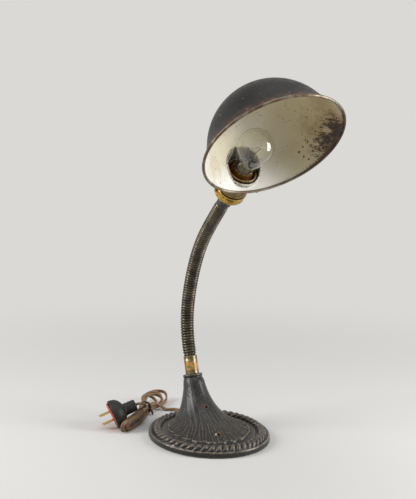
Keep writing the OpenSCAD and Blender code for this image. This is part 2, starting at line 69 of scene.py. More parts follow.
AZIMUTH, ELEVATION, ROLL = 60.4, 10.43, math.radians(0.6)
AIM, DISTANCE = (-0.0074, 0, 0.2501), 1.522
a, e = math.radians(AZIMUTH), math.radians(ELEVATION)
out = np.array([math.sin(a) * math.cos(e), -math.cos(a) * math.cos(e), math.sin(e)])
right = np.array([math.cos(a), math.sin(a), 0.0])
up = np.cross(out, right)
axes = [math.cos(ROLL) * right + math.sin(ROLL) * up, math.cos(ROLL) * up - math.sin(ROLL) * right, out]


def standing(axes, where):
    """The matrix of a thing with three given axes, at a place in metres."""
    m = np.eye(4)
    m[:3, :3], m[:3, 3] = np.transpose(axes), where
    return Matrix(m.tolist())


cam = bpy.data.objects.new("camera", bpy.data.cameras.new("camera"))
cam.data.lens = 85
cam.data.sensor_width = 36
cam.data.clip_start, cam.data.clip_end = 0.05, 30
cam.matrix_world = standing(axes, np.array(AIM) + DISTANCE * out)
bpy.context.scene.collection.objects.link(cam)
bpy.context.scene.camera = cam

# ---------------------------------------------------------------- flexible cord
# Brown parallel twin flex, two rubber-covered conductors moulded side by side, 5.2 x 2.7 mm.
# It leaves the back of the foot, is folded into four long loops held by a tie, and ends in the plug.


def turn(axis, degrees):
    """A turn about one axis, as a matrix."""
    c, s = math.cos(math.radians(degrees)), math.sin(math.radians(degrees))
    m = np.eye(3)
    i, j = {"x": (1, 2), "y": (2, 0), "z": (0, 1)}[axis]
    m[i, i], m[i, j], m[j, i], m[j, j] = c, -s, s, c
    return m


def placed(points, move, spin):
    """Points given in mm in a piece's own axes, as points of the row frame in mm."""
    return np.asarray(points, float) @ spin.T + np.asarray(move, float)


def unit(v):
    """Vectors brought to length 1."""
    return v / np.maximum(np.linalg.norm(v, axis=-1, keepdims=True), 1e-12)


def spline(points, step):
    """A smooth line through points, resampled about every step."""
    p = np.asarray(points, float)
    p = np.vstack([2 * p[:1] - p[1:2], p, 2 * p[-1:] - p[-2:-1]])
    fine = []
    for a, b, c, d in zip(p[:-3], p[1:-2], p[2:-1], p[3:]):
        t = np.linspace(0, 1, 24, endpoint=False)[:, None]
        fine.append(0.5 * (2 * b + (c - a) * t + (2 * a - 5 * b + 4 * c - d) * t**2
                           + (3 * b - a - 3 * c + d) * t**3))
    fine = np.vstack(fine + [p[-2:-1]])
    run = np.r_[0, np.cumsum(np.linalg.norm(np.diff(fine[:, :3], axis=0), axis=1))]
    at = np.linspace(0, run[-1], max(2, int(round(run[-1] / step)) + 1))
    return np.stack([np.interp(at, run, fine[:, k]) for k in range(p.shape[1])], 1)


def skin(name, rings, wrap=True, loop=False, ends=False, marks=None):
    """A mesh over rows of points in mm. wrap joins each row's ends, loop the last row to the first, and
    marks are numbers that the points carry for the material."""
    rings = np.asarray(rings, float)
    n, m = rings.shape[:2]
    i = np.arange(n if loop else n - 1)[:, None]
    j = np.arange(m if wrap else m - 1)[None, :]
    a, b = i * m + j, i * m + (j + 1) % m
    c, d = ((i + 1) % n) * m + (j + 1) % m, ((i + 1) % n) * m + j
    faces = np.stack([a, b, c, d], -1).reshape(-1, 4).tolist()
    if ends:
        faces += [list(range(m))[::-1], [(n - 1) * m + k for k in range(m)]]
    mesh = bpy.data.meshes.new(name)
    mesh.from_pydata((rings.reshape(-1, 3) * 0.001).tolist(), [], faces)
    mesh.polygons.foreach_set("use_smooth", [len(f) == 4 for f in faces])
    for key, numbers in (marks or {}).items():
        layer = mesh.attributes.new(key, "FLOAT", "POINT")
        layer.data.foreach_set("value", np.asarray(numbers, np.float32).ravel())
    mesh.update()
    made = bpy.data.objects.new(name, mesh)
    bpy.context.scene.collection.objects.link(made)
    return made


def hexed(text):
    """An sRGB hex colour as a linear one."""
    c = [int(text[k:k + 2], 16) / 255 for k in (1, 3, 5)]
    return [x / 12.92 if x <= 0.04045 else ((x + 0.055) / 1.055) ** 2.4 for x in c] + [1.0]


def join(tree, node, sockets):
    """A node's sockets linked, or set from numbers or a hex colour."""
    for key, value in sockets.items():
        if isinstance(value, bpy.types.NodeSocket):
            tree.links.new(value, node.inputs[key])
        else:
            node.inputs[key].default_value = hexed(value) if isinstance(value, str) else value


def add(tree, kind, sockets=None, out=0, stops=(), **named):
    """A shader node, its sockets set or linked by index or Capitalised name, its settings by small name.
    It gives one output socket, or all of them where out is None."""
    made = tree.nodes.new("ShaderNode" + kind)
    sockets = dict(sockets or {})
    for key, value in named.items():
        if key[0].isupper():
            sockets[key] = value
        else:
            setattr(made, key, value)
    join(tree, made, sockets)
    for k, (at, shade) in enumerate(stops):
        element = made.color_ramp.elements.new(at) if k > 1 else made.color_ramp.elements[k]
        element.position = at
        element.color = hexed(shade) if isinstance(shade, str) else [shade] * 3 + [1]
    return made.outputs if out is None else made.outputs[out]


def laid(tree, under, over, pattern, low=0.0, high=1.0, most=1.0):
    """One colour laid over another as a pattern runs from low up to high, at most so much of it."""
    share = add(tree, "MapRange", {1: low, 2: high, 4: most}, Value=pattern)
    return add(tree, "Mix", {0: share, 6: under, 7: over}, 2, data_type="RGBA")


def material(name, paint=None, grains=(), **sockets):
    """A material on one Principled shader. Each grain is a noise for paint: (mm across, detail), and its
    roughness where that isn't 0.55. paint gives sockets, of them "Roughness" as (noise, least, most) and
    "relief" as rows of (noise, mm)."""
    mat = bpy.data.materials.new(name)
    mat.use_nodes = True
    tree = mat.node_tree
    if paint:
        where = add(tree, "TexCoord", out="Object")
        looks = paint(tree, where, *[
            add(tree, "TexNoise", Vector=where, Scale=1000 / size, Detail=float(detail),
                Roughness=(*rough, 0.55)[0]) for size, detail, *rough in grains])
        if "Roughness" in looks:
            noise, least, most = looks["Roughness"]
            looks["Roughness"] = add(tree, "MapRange", {1: 0.3, 2: 0.7, 3: least, 4: most}, Value=noise)
        for height, depth in looks.pop("relief"):
            under = {"Normal": looks["Normal"]} if "Normal" in looks else {}
            looks["Normal"] = add(tree, "Bump", under, Height=height, Distance=depth * 0.001, Strength=1.0)
        sockets.update(looks)
    join(tree, tree.nodes["Principled BSDF"], sockets)
    return mat


def sweep(name, line, facing, section):
    """section (x across, y out) drawn along line, its y side turned to facing."""
    along = unit(np.gradient(line, axis=0))
    side = unit(np.cross(facing, along))
    face = np.cross(along, side)
    s = np.asarray(section, float)
    rings = line[:, None] + s[None, :, :1] * side[:, None] + s[None, :, 1:] * face[:, None]
    return skin(name, rings, ends=True)


# Radius of each conductor, half the gap between them, and the height at which the flex lies.
CORE, APART, LYING = 1.33, 1.25, 2.8
arc = np.radians(np.linspace(-138, 138, 11))
twin = np.r_[np.c_[APART + CORE * np.cos(arc), CORE * np.sin(arc)],
             np.c_[-APART - CORE * np.cos(arc), -CORE * np.sin(arc)]]
HANK = ((-120.8, -34.1, 0), turn("z", -42))

# Each row: x along the hank towards the plug, y to the near side, z up, and the way the flat faces.
route = [(-21, 24.5, 2.8, 0, 0, 1), (-24, 18, 4.6, 0, 0, 1), (-21, 12.6, 9.2, 0, 0.4, 0.9),
         (-12, 8.2, 12.4, 0, 0.7, 0.7)]
# Each loop: its lane, how far it reaches behind the tie as a share, where it folds before the tie, how
# it waves, how high it runs, how far its lower strand drops aside, and how many degrees it swings.
for lane, back, end, wave, top, drop, swing in (
        (6, 0.56, 80, 0.9, 16.2, 1, 4), (3.2, 0.7, 87, -0.7, 15.6, 1.4, -5),
        (0.3, 0.86, 76, 0.5, 16.2, 0.6, 2), (-2.4, 1.0, 58, -0.4, 12.2, 3.6, -2)):
    fold = (top - LYING) / 2
    c = end - fold
    before = [
        (0, lane * 0.72, 11, 0, 1, 0.3), (end * 0.18, lane * 0.9, 13.6 + wave, 0, 0.9, 0.5),
        (end * 0.45, lane, top - 0.6, 0, 0.8, 0.6), (end * 0.7, lane, top, 0, 0.7, 0.7),
        (c, lane, top - 0.2, 0.3, 0.6, 0.7),
        (c + 0.7 * fold, lane - 0.4 * drop, top - 0.3 * fold, 0.7, 0.4, 0.5),
        (end, lane - drop, top - fold, 1, 0.3, 0.1),
        (c + 0.7 * fold, lane - 1.6 * drop, LYING + 0.3 * fold, 0.6, 0.6, -0.5),
        (c, lane - 2 * drop, LYING, 0.3, 0.8, -0.5), (end * 0.6, lane - 1.6 * drop, LYING, 0, 1, -0.2),
        (end * 0.38, lane - drop, 2.9, 0, 1, -0.2), (end * 0.17, lane * 0.9, 3.6, 0, 1, -0.2),
        (0, lane * 0.72, 5.4, 0, 1, 0)]
    behind = [
        (-13, 2 + 4 * back, 4.6, 0, 1, -0.2), (-32 * back - 5, 4 + 9 * back, 4 + 3 * (1 - back), 0, 1, -0.3),
        (-55 * back - 3, 4 + 10 * back, 6 + 3 * (1 - back), -0.4, 1, 0),
        (-70 * back - 1, 7 * back, 11.5, -1, 0.2, 0.3),
        (-66 * back, -6 * back, 18.5 - 5 * back, -0.6, -0.6, 0.6),
        (-48 * back - 2, -11.2 * back, 19.4 - 5 * back, 0, -0.5, 0.8),
        (-24 * back - 3, -9 * back - 1, 15.2, 0, 0.2, 1)]
    route += [(x, y - 0.0045 * max(x - 42, 0)**2, *rest) for x, y, *rest in before]
    route += [(*(turn("z", swing) @ row[:3]), *row[3:]) for row in behind]
route += [(0, -3.2, 14.6, 0, 0.5, 0.9), (14, -1, 18.2, 0, 0.4, 1), (30, 2, 19.4, 0, 0.2, 1)]
hank = np.array(route)
hank = np.c_[placed(hank[:, :3], *HANK), hank[:, 3:] @ HANK[1].T]
lead = [(-89.1, 11.1, 3.9, 0, 0, 1), (-93.5, 11.8, 3.7, 0, 0, 1), (-99, 12.5, 3.0, 0, 0, 1),
        (-107, 12.4, 2.8, 0, 0, 1), (-114, 10.4, 2.8, 0, 0, 1)]
tail = [(-89, -51.2, 22.6, 0.3, 0.2, 0.9), (-84.8, -51.6, 26.4, 0.5, 0.5, 0.7),
        (-81.6, -54.9, 29.6, 0.4, 0.6, 0.7), (-79.9, -59.7, 31.6, 0, 0.2, 1),
        (-80.4, -64.7, 31.4, 0, -0.2, 1), (-81.3, -67.9, 30.2, 0, -0.3, 1)]
cord_line = spline(np.vstack([lead, hank, tail]), 1.2)
for _ in range(6):
    cord_line[1:-1] = 0.5 * cord_line[1:-1] + 0.25 * (cord_line[:-2] + cord_line[2:])
flex = sweep("flex", cord_line[:, :3], unit(cord_line[:, 3:]), twin)


def brown_rubber(t, p, worn, grime, pits):
    tone = laid(t, "#644a30", "#8a6a45", worn, 0.3, 0.7)
    return {"Base Color": laid(t, tone, "#463222", grime, 0.35, 0.7, 0.4), "relief": [(pits, 0.04)]}


# Old rubber: half matt, tan where hands have polished it and darker where dirt has stayed.
FLEX = material("rubber, brown, extruded twin flex", brown_rubber,
                [(9, 4), (2.2, 3), (0.8, 3)], Roughness=0.52)
flex.data.materials.append(FLEX)
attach(flex, "base")
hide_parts("cord_lead", "cord_hank", "cord_tail")

# ---------------------------------------------------------------- cast base
# Hollow grey-iron casting in one piece: plain band, rope border, leafy edge, fluted foot drawn up
# into a leaning horn. Blackened, rubbed back to pale metal on its raised edges, painted dark as shade in its
# hollows.
# It stands loose on its rim, and its weight holds the lamp up.


def smooth(x, low, high):
    """0 below low, 1 above high and a soft step between."""
    t = np.clip((x - low) / (high - low), 0, 1)
    return t * t * (3 - 2 * t)


def normals(grid):
    """Unit normals of a grid of points, from its differences down the rows and round them."""
    return unit(np.cross(np.roll(grid, -1, 1) - np.roll(grid, 1, 1), np.gradient(grid, axis=0)))


def edges(grid):
    """How sharply the grid bends at each point, per mm, positive on ridges."""
    n = normals(grid)
    total = 0
    for a, b in ((np.roll(grid, 1, 1), np.roll(grid, -1, 1)),
                 (np.vstack([grid[:1], grid[:-1]]), np.vstack([grid[1:], grid[-1:]]))):
        gap = 0.5 * (np.linalg.norm(a - grid, axis=-1) + np.linalg.norm(b - grid, axis=-1))
        total = total - (((a + b) / 2 - grid) * n).sum(-1) * 2 / np.maximum(gap, 0.25)**2
    for _ in range(2):
        total = (total + np.roll(total, 1, 1) + np.roll(total, -1, 1)
                 + np.vstack([total[:1], total[:-1]]) + np.vstack([total[1:], total[-1:]])) / 5
    return total


HALF_LONG, HALF_WIDE = 88, 77.5
ROPE_TURNS, FLUTES, LEAVES = 50, 28, 18
ROPE_IN, ROPE_OUT = 0.778, 0.966  # shares of the half length
# Height, and shares of the half length and half width, up the band, over the rope and into the moat.
band = [(0, 0.986, 0.984), (0.5, 0.996, 0.995), (1.8, 1, 1), (5, 1, 1), (6.7, 0.997, 0.996),
        (7.8, 0.988, 0.986), (8.1, 0.978, 0.975), (8.3, 0.966, 0.962), (9.9, 0.944, 0.939),
        (11.7, 0.914, 0.909), (12.7, 0.884, 0.878), (12.7, 0.854, 0.848), (11.9, 0.822, 0.816),
        (10.6, 0.796, 0.79), (9.5, 0.774, 0.768), (9, 0.75, 0.745), (9, 0.726, 0.726), (9.5, 0.708, 0.71)]
# Shares of the horn's rise, of its shift back, of its spread both ways and of its lean.
horn = [(0, 0, 1, 1, 0), (0.016, 0.026, 0.95, 0.956, 0), (0.039, 0.077, 0.875, 0.882, 0),
        (0.079, 0.154, 0.781, 0.772, 0), (0.128, 0.242, 0.688, 0.637, 0),
        (0.193, 0.33, 0.594, 0.49, 0), (0.275, 0.441, 0.49, 0.368, 0),
        (0.374, 0.562, 0.375, 0.257, 0), (0.489, 0.672, 0.26, 0.172, 0),
        (0.62, 0.78, 0.16, 0.1, 0.26), (0.767, 0.868, 0.083, 0.049, 0.55),
        (0.9, 0.94, 0.034, 0.02, 0.82)]
RISE, BACK, LEAN, TIP, SPREAD_LONG, SPREAD_WIDE = 61, 45.44, 17, 13, 47.98, 40.79
knots = [(z, 0, HALF_LONG * a, HALF_WIDE * b, 0) for z, a, b in band]
knots += [(10.2 + RISE * z, -BACK * x, TIP + SPREAD_LONG * a, TIP + SPREAD_WIDE * b, LEAN * t)
          for z, x, a, b, t in horn]
knots += [(73.7 - 0.956 * d, -46.2 + 0.292 * d, TIP - r, TIP - r, LEAN)
          for d, r in ((5, 0.6), (4, 0.5), (3.2, 0), (1.6, -0.1), (0.5, 0.25), (0, 1.1), (0, 3.6))]
# The hollow, from the horn's top down to the foot's underside.
hidden = [(73.7, -46.2, 5.3, 5.3, LEAN), (64.1, -43.3, 5.3, 5.3, LEAN), (64.1, -43.3, 9, 9, LEAN)]
hidden += [(5.4 + RISE * z, -BACK * x, 9 + SPREAD_LONG * a, 9 + SPREAD_WIDE * b, LEAN * t)
           for z, x, a, b, t in horn[10:0:-1]]
hidden += [(6.3, 0, 59.8, 51.9, 0), (7.2, 0, 70.4, 61.6, 0), (6.7, 0, 75.7, 65.9, 0),
           (3.4, 0, 79.2, 69.4, 0), (0, 0, 84, 73.5, 0)]


def ovals(rows, around):
    """Rows of ovals (height, shift, half length, half width, lean) as rings of points."""
    z, x, a, b = (np.asarray(rows, float)[:, k, None] for k in range(4))
    tilt = np.radians(np.asarray(rows, float)[:, 4, None])
    return np.stack([x + a * np.cos(around) * np.cos(tilt), b * np.sin(around) + 0 * z,
                     z + a * np.cos(around) * np.sin(tilt)], -1)


rows = spline(knots, 0.72)
phi = np.linspace(0, 2 * np.pi, 640, endpoint=False)[None, :]
grid = ovals(rows, phi)
# q is the way in mm up the section from the horn's foot, across runs from 0 to 1 over the rope.
arc = np.r_[0, np.cumsum(np.linalg.norm(np.diff(rows[:, :3], axis=0), axis=1))]
q = (arc - arc[np.argmin(np.abs(rows[:, 2] - TIP - SPREAD_LONG))])[:, None]
across = np.where(q > 0, -1, ((rows[:, 2] / HALF_LONG - ROPE_IN) / (ROPE_OUT - ROPE_IN))[:, None])
strand = ROPE_TURNS * phi / (2 * np.pi) + 1.05 * across + 0.1 * np.sin(2 * np.pi * across)
off_middle = np.abs(2 * (strand - np.floor(strand)) - 1)
lump = (1 - off_middle**2)**0.7 * (1 - np.clip(np.abs(2 * across - 1), 0, 1)**3.5)
rope = smooth(across, -0.08, 0.05) * smooth(across, 1.06, 0.97)
high = rope * (-2.9 + 3.7 * lump)
lobes = LEAVES / 2 * phi + 0.7 * np.sin(2 * phi + 1) + 0.35 * np.sin(5 * phi + 1)
wavy = 0.45 + 0.55 * smooth(np.cos(phi + 1.3), -0.2, 0.7)
edge = 0.6 + 5.2 * wavy * (1 - np.abs(np.sin(lobes))**0.65)
leaf = smooth(q, edge - 0.6, edge + 0.5) * (q > -5)
moat = smooth(q, -4.6, -2.6) * (1 - leaf)
high = high - 1.5 * moat * (1 - rope) + 1.25 * leaf * np.exp(-((q - edge - 1.4) / 1.2)**2)
swirl = (phi + 0.055 * smooth(q, 26, 2) * np.sin(2 * lobes) + 0.02 * np.sin(3 * phi)
         + 0.05 * smooth(q, 22, 0))
# Low down each flute is split in two.
low = smooth(q, 40, 20)
flute = (1 - low) * np.abs(np.sin(FLUTES / 2 * swirl))**0.8 + low * np.abs(np.sin(FLUTES * swirl))**0.8
high = high - (0.14 + 1.5 * (1 - smooth(q, 4, 56))) * smooth(q, 94, 74) * leaf * flute * smooth(q, 1, 5)
grid = grid + high[..., None] * normals(grid)
# Two holes drilled in the front: where they open, which way they run and how deep they look.
BORES, BORE_WAY, BORE_DEEP = ((-4.7, -1.6, 39.8), (38.8, -7.2, 16.4)), (0.574, 0, 0.819), 3.6
for mouth in BORES:
    off = np.linalg.norm(np.cross(grid - np.array(mouth), BORE_WAY), axis=-1)
    front = np.abs((grid - np.array(mouth)) @ np.array(BORE_WAY)) < 9
    grid = grid - BORE_DEEP * (smooth(off, 2.3, 1.8) * front)[..., None] * np.array(BORE_WAY)
grid[..., 2] = np.maximum(grid[..., 2], 0)
bends = edges(grid)
inside = ovals(hidden, phi)
blank = np.zeros(inside.shape[:2])
ridges = smooth(bends, 0.12, 0.75) * (1 - 0.55 * smooth(q, 5, 9))
# Where the iron is painted dark as shade: its hollows, the moat, and at half strength the casting's inside.
hollows = np.maximum(smooth(-bends, 0.1, 0.7), 0.75 * moat * (1 - rope))
casting = skin("base_iron_casting", np.concatenate([grid, inside]), loop=True,
               marks={"ridge": np.vstack([ridges, blank]), "hollow": np.vstack([hollows, blank + 0.5])})


def near(t, p, at, radius, soft, most=1.0):
    """A spot: most within radius mm of a point, fading to 0 over soft mm."""
    far = add(t, "VectorMath", {0: p, 1: [v * 0.001 for v in at]}, "Value", operation="DISTANCE")
    return add(t, "MapRange", {1: radius * 0.001, 2: (radius + soft) * 0.001, 3: most, 4: 0.0}, Value=far,
               interpolation_type="SMOOTHSTEP")


def broken(t, mark, noise, low, high, least):
    """A mark that the mesh carries, such as its ridges, thinned out where a noise is low."""
    share = add(t, "MapRange", {1: low, 2: high, 3: least}, Value=noise)
    mark = add(t, "Attribute", out="Fac", attribute_name=mark)
    return add(t, "Math", {0: mark, 1: share}, operation="MULTIPLY")


def round_bores(t, p, radius, soft):
    """1 within radius mm of the axes of the two holes drilled in the horn."""
    found = []
    for mouth in BORES:
        arm = add(t, "VectorMath", {0: p, 1: [v * 0.001 for v in mouth]}, operation="SUBTRACT")
        off = add(t, "VectorMath", {0: arm, 1: BORE_WAY}, operation="CROSS_PRODUCT")
        far = add(t, "VectorMath", {0: off}, "Value", operation="LENGTH")
        found.append(add(t, "MapRange", {1: radius * 0.001, 2: (radius + soft) * 0.001, 3: 1.0, 4: 0.0},
                         Value=far))
    return add(t, "Math", dict(enumerate(found)), operation="MAXIMUM")


def black_iron(t, p, broad, fine, grit, patchy, sandy):
    ground = laid(t, "#0f0f0e", "#1b1917", broad, 0.36, 0.66)
    ground = laid(t, ground, "#3d372e", fine, 0.5, 0.75, 0.55)
    # Painted shade: near-black in the hollows, the moat and over the casting's inside.
    ground = laid(t, ground, "#0d0b09", broken(t, "hollow", fine, 0.3, 0.65, 0.5))
    rubbed = broken(t, "ridge", patchy, 0.3, 0.62, 0.15)
    ground = laid(t, ground, laid(t, "#82705a", "#a19484", fine, 0.35, 0.6), rubbed)
    ground = laid(t, ground, "#7d7462", grit, 0.66, 0.74, 0.6)
    for at, size in (((27.5, -68.6, 6.6), 1.6), ((37.2, -10.2, 15.2), 1.7), ((29.5, -62, 7), 0.8)):
        ground = laid(t, ground, "#b9ac90", near(t, p, at, size, 0.8))
    ground = laid(t, ground, "#76492a", round_bores(t, p, 2.6, 0.7))
    # Painted shade: the holes' insides are near-black, over pits only 3.6 mm deep.
    ground = laid(t, ground, "#030202", round_bores(t, p, 2.15, 0.3))
    return {"Base Color": ground, "Roughness": (fine, 0.22, 0.42),
            "Metallic": add(t, "Math", {0: rubbed, 1: 0.85}, operation="MULTIPLY"),
            "relief": [(grit, 0.22), (sandy, 0.3)]}


# Sand-cast iron under black wax: a deep satin black, grainy, with grey-brown metal on every edge,
# painted shade in the hollows, a few pale chips and rust round the two holes, whose insides are painted
# black as shade. The sand's grit, about 0.4 mm, is too fine to show and is drawn at 1.1 mm.
IRON = material("cast iron, blackened and waxed", black_iron,
                [(26, 4), (3.2, 5, 0.65), (1.1, 3, 0.6), (6, 4), (5, 3)],
                **{"Specular IOR Level": 0.46})
casting.data.materials.append(IRON)
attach(casting, "base")
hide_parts("base_casting")

# ---------------------------------------------------------------- coupling
# Drawn brass sleeve that stands on the horn and grips the neck, nickel-plated and worn to brass, with
# the remains of a coloured paper seal.

COLLAR = ((-46.2, 0, 73.7), turn("y", -LEAN))


def lathe(name, profile, frame, around=96, **options):
    """A profile of (radius, height) in mm turned about a frame's own Z."""
    p = np.asarray(profile, float)
    a = np.linspace(0, 2 * np.pi, around, endpoint=False)[None, :]
    rings = np.stack([p[:, :1] * np.cos(a), p[:, :1] * np.sin(a), p[:, 1:] + 0 * a], -1)
    return skin(name, placed(rings, *frame), **options)


def crisp(piece, degrees=32):
    """A piece whose edges show sharp where they bend by more than some degrees."""
    piece.data.set_sharp_from_angle(angle=math.radians(degrees))
    return piece


sleeve = crisp(lathe("coupling_sleeve", [
    (5.3, 0.4), (8.7, 0.05), (9.1, 0.4), (9.1, 2.3), (8.75, 2.6), (8.75, 3), (9.02, 3.4), (8.98, 12),
    (8.92, 20.4), (8.7, 20.8), (8.7, 21.2), (9.05, 21.6), (9.02, 23.7), (8.6, 24.35), (7.2, 24.35),
    (7.2, 18), (5.3, 17)], COLLAR, loop=True))


def along(t, p, frame, axis=2):
    """How far the object's position lies along one axis of a frame, in metres."""
    arm = add(t, "VectorMath", {0: p, 1: [v * 0.001 for v in frame[0]]}, operation="SUBTRACT")
    return add(t, "VectorMath", {0: arm, 1: frame[1][:, axis].tolist()}, "Value", operation="DOT_PRODUCT")


def worn_nickel(t, p, broad, fine, torn, dents):
    metal = laid(t, "#65593f", "#94866a", broad, 0.4, 0.62)
    metal = laid(t, metal, "#4d3d2b", fine, 0.5, 0.72, 0.8)
    lift = along(t, p, COLLAR)
    bearing = add(t, "Math", {0: along(t, p, COLLAR, 1), 1: along(t, p, COLLAR, 0)}, operation="ARCTAN2")
    tear = add(t, "MapRange", {1: 0.3, 2: 0.7, 3: -0.4, 4: 0.4}, Value=torn)
    seals = []
    # Each part of the seal: its middle and half width in degrees, its height and half height in mm.
    for middle, wide, at, tall in ((-46, 36, 11.3, 6.4), (20, 27, 10.6, 5.0)):
        x = add(t, "MapRange", {1: math.radians(middle), 2: math.radians(middle + wide)}, Value=bearing,
                clamp=False)
        y = add(t, "MapRange", {1: at * 0.001, 2: (at + tall) * 0.001}, Value=lift, clamp=False)
        far = add(t, "VectorMath", {0: add(t, "CombineXYZ", X=x, Y=y)}, "Value", operation="LENGTH")
        far = add(t, "Math", {0: far, 1: tear}, operation="ADD")
        seals.append(add(t, "MapRange", {1: 0.9, 2: 1.02, 3: 1.0, 4: 0.0}, Value=far))
    sealed = add(t, "Math", dict(enumerate(seals)), operation="MAXIMUM")
    # The seal's colours: flecks 3.6 mm apart in three inks on yellowed paper.
    cells = add(t, "TexVoronoi", out=None, Vector=p, Scale=1000 / 3.5714, Randomness=1.0)
    spots = add(t, "MapRange", {1: 0.4, 2: 0.52, 3: 1.0, 4: 0.0}, Value=cells["Distance"])
    inks = add(t, "ValToRGB", Fac=add(t, "SeparateColor", Color=cells["Color"]), stops=[
        (0.0, "#c23a30"), (0.3, "#c23a30"), (0.36, "#5d6b22"), (0.66, "#5d6b22"), (0.72, "#cf6f28"),
        (1.0, "#cf6f28")])
    paper = laid(t, laid(t, "#b98a38", "#79742b", fine, 0.4, 0.7, 0.7), inks, spots)
    return {"Base Color": laid(t, metal, paper, sealed), "Roughness": (fine, 0.24, 0.48),
            "Metallic": add(t, "MapRange", {3: 0.9, 4: 0.0}, Value=sealed), "relief": [(dents, 0.08)]}


# Thin nickel over brass: a warm grey shine with brown tarnish, and a ragged matt patch of paper on it.
NICKEL = material("nickel plate on brass, worn, with a paper seal", worn_nickel,
                  [(5, 4), (1.4, 3), (3, 4), (1.8, 3)])
sleeve.data.materials.append(NICKEL)
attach(sleeve, "base")
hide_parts("lower_coupling")

# ---------------------------------------------------------------- flexible neck
# Round steel wire wound close on a spring, about 66 turns, held by the coupling and the ferrule. The
# real neck bends as one smooth tube; here it is drawn at rest in ten pieces, each from the middle of one
# length to the middle of the next.

PITCH, LENGTH, FOOT = 3.733, 22.398, np.array([-53.33, 0, 97.03])
CORE_RADIUS, WIRE_HIGH, SWELL = 6.2, 1.95, 0.85
tilts = np.radians([-17, -7, 3.5, 12, 17.5, 22.5, 27.5, 35, 41.5, 44.5, 44.4])
steps = LENGTH * np.stack([np.sin(tilts), 0 * tilts, np.cos(tilts)], 1)
pivots = np.vstack([FOOT, FOOT + np.cumsum(steps, 0)])
middles = (pivots[:-1] + pivots[1:]) / 2
t = np.linspace(0, 1, 60, endpoint=False)[:, None]
curves = [(1 - t)**2 * middles[k - 1] + 2 * t * (1 - t) * pivots[k] + t * t * middles[k]
          for k in range(1, 11)]
first = pivots[0] - 1.2 * unit(steps[0])
last = pivots[11] + 2 * unit(steps[10])
fine = np.vstack([first + (middles[0] - first) * t, *curves, middles[10] + (last - middles[10]) * t, last])
run = np.r_[0, np.cumsum(np.linalg.norm(np.diff(fine, axis=0), axis=1))]
spans = [0] + [60 * k for k in range(2, 11)] + [len(fine) - 1]
theta = np.linspace(0, 2 * np.pi, 40, endpoint=False)[None, :]
necks = []
for k in range(10):
    low, high = run[spans[k]], run[spans[k + 1]]
    s = np.linspace(low, high, int(round((high - low) / 0.31)) + 1)
    mid = np.stack([np.interp(s, run, fine[:, i]) for i in range(3)], 1)
    way = unit(np.stack([np.interp(s, run, np.gradient(fine[:, i], run)) for i in range(3)], 1))
    side = np.array([[0, 1.0, 0]])
    face = np.cross(way, side)
    turns_at = s[:, None] / PITCH + theta / (2 * np.pi)
    bulge = np.sqrt(np.maximum(1 - (2 * (turns_at - np.floor(turns_at)) - 1)**2, 0))
    swell = (smooth(s, 1.5, 9) * smooth(run[-1] - s, 1.5, 9))[:, None]
    reach = CORE_RADIUS + WIRE_HIGH * bulge + SWELL * swell
    rings = (mid[:, None] + (reach * np.cos(theta))[..., None] * face[:, None]
             + (reach * np.sin(theta))[..., None] * side[:, None])
    neck = skin("neck_winding_%02d" % (k + 1), rings, marks={"bulge": bulge})
    necks.append(neck)
    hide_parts("neck_link_%02d" % (k + 1))
    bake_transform(neck)
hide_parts("neck_link_11")


def wound_wire(t, p, broad, fine):
    bulge = add(t, "Attribute", out="Fac", attribute_name="bulge")
    steel = laid(t, "#423b32", "#665d4e", broad, 0.4, 0.65)
    steel = laid(t, steel, "#302820", fine, 0.48, 0.74, 0.7)
    # Painted shade: the wire goes near-black in the gaps between turns.
    return {"Base Color": laid(t, "#0e0c0a", steel, bulge, 0.35, 0.85), "Roughness": (fine, 0.24, 0.42),
            "Metallic": add(t, "MapRange", {1: 0.4, 2: 0.85, 3: 0.2, 4: 0.95}, Value=bulge),
            "relief": [(fine, 0.03)]}


# Bare steel gone brown: each turn catches a line of light on its crown; the gaps are painted black as shade.
WIRE = material("steel wire, wound, dulled", wound_wire, [(17, 3), (1.6, 4)])
for neck in necks:
    neck.data.materials.append(WIRE)

# ---------------------------------------------------------------- ferrule and socket
# Blued steel ferrule with a grub screw; spun brass cap with a hammered skirt, its side screw and two
# vent holes, painted black as shade; drawn brass shell with a turned-in lip, dull from age; moulded key on a
# steel shaft.

SOCKET = ((28.119, 0, 313.971), turn("y", 44.4))
ferrule = crisp(lathe("neck_ferrule", [
    (7, -0.2), (8, -0.3), (8.3, 0.2), (8.3, 1.4), (8.1, 1.7), (8.1, 2.1), (8.3, 2.4), (8.3, 11.2),
    (7.9, 11.9), (5.1, 12), (5.1, 18.9), (3.1, 19), (3.1, 8), (7, 7)], SOCKET, loop=True))
cap = crisp(lathe("socket_brass_cap", [
    (5.2, 12.1), (7.5, 12.05), (8, 12.5), (8.05, 14.1), (8.6, 14.8), (11, 15.9), (14, 17.2), (16.6, 18.8),
    (18.4, 20.6), (19.3, 22.2), (19.45, 23), (19.8, 23.3), (20, 24), (19.8, 24.7), (19.7, 25.2),
    (19.75, 28), (19.8, 30.4), (20, 30.9), (20, 32.3), (19.7, 32.95), (19.2, 32.95), (19.05, 32.4),
    (19.05, 23.8), (16, 20.2), (12, 18.2), (5.2, 16.2)], SOCKET, 144, loop=True), 40)
shell = crisp(lathe("socket_brass_shell", [
    (19, 28), (18.5, 31.5), (18.4, 33.9), (18.95, 34.3), (19, 35.2), (19, 46), (18.8, 46.4), (18.8, 46.9),
    (19, 47.3), (19, 66.3), (18.8, 67), (18.3, 67.45), (17.2, 67.5), (16.8, 67.1), (17.9, 66.6), (18, 28)],
    SOCKET, 128, loop=True), 40)


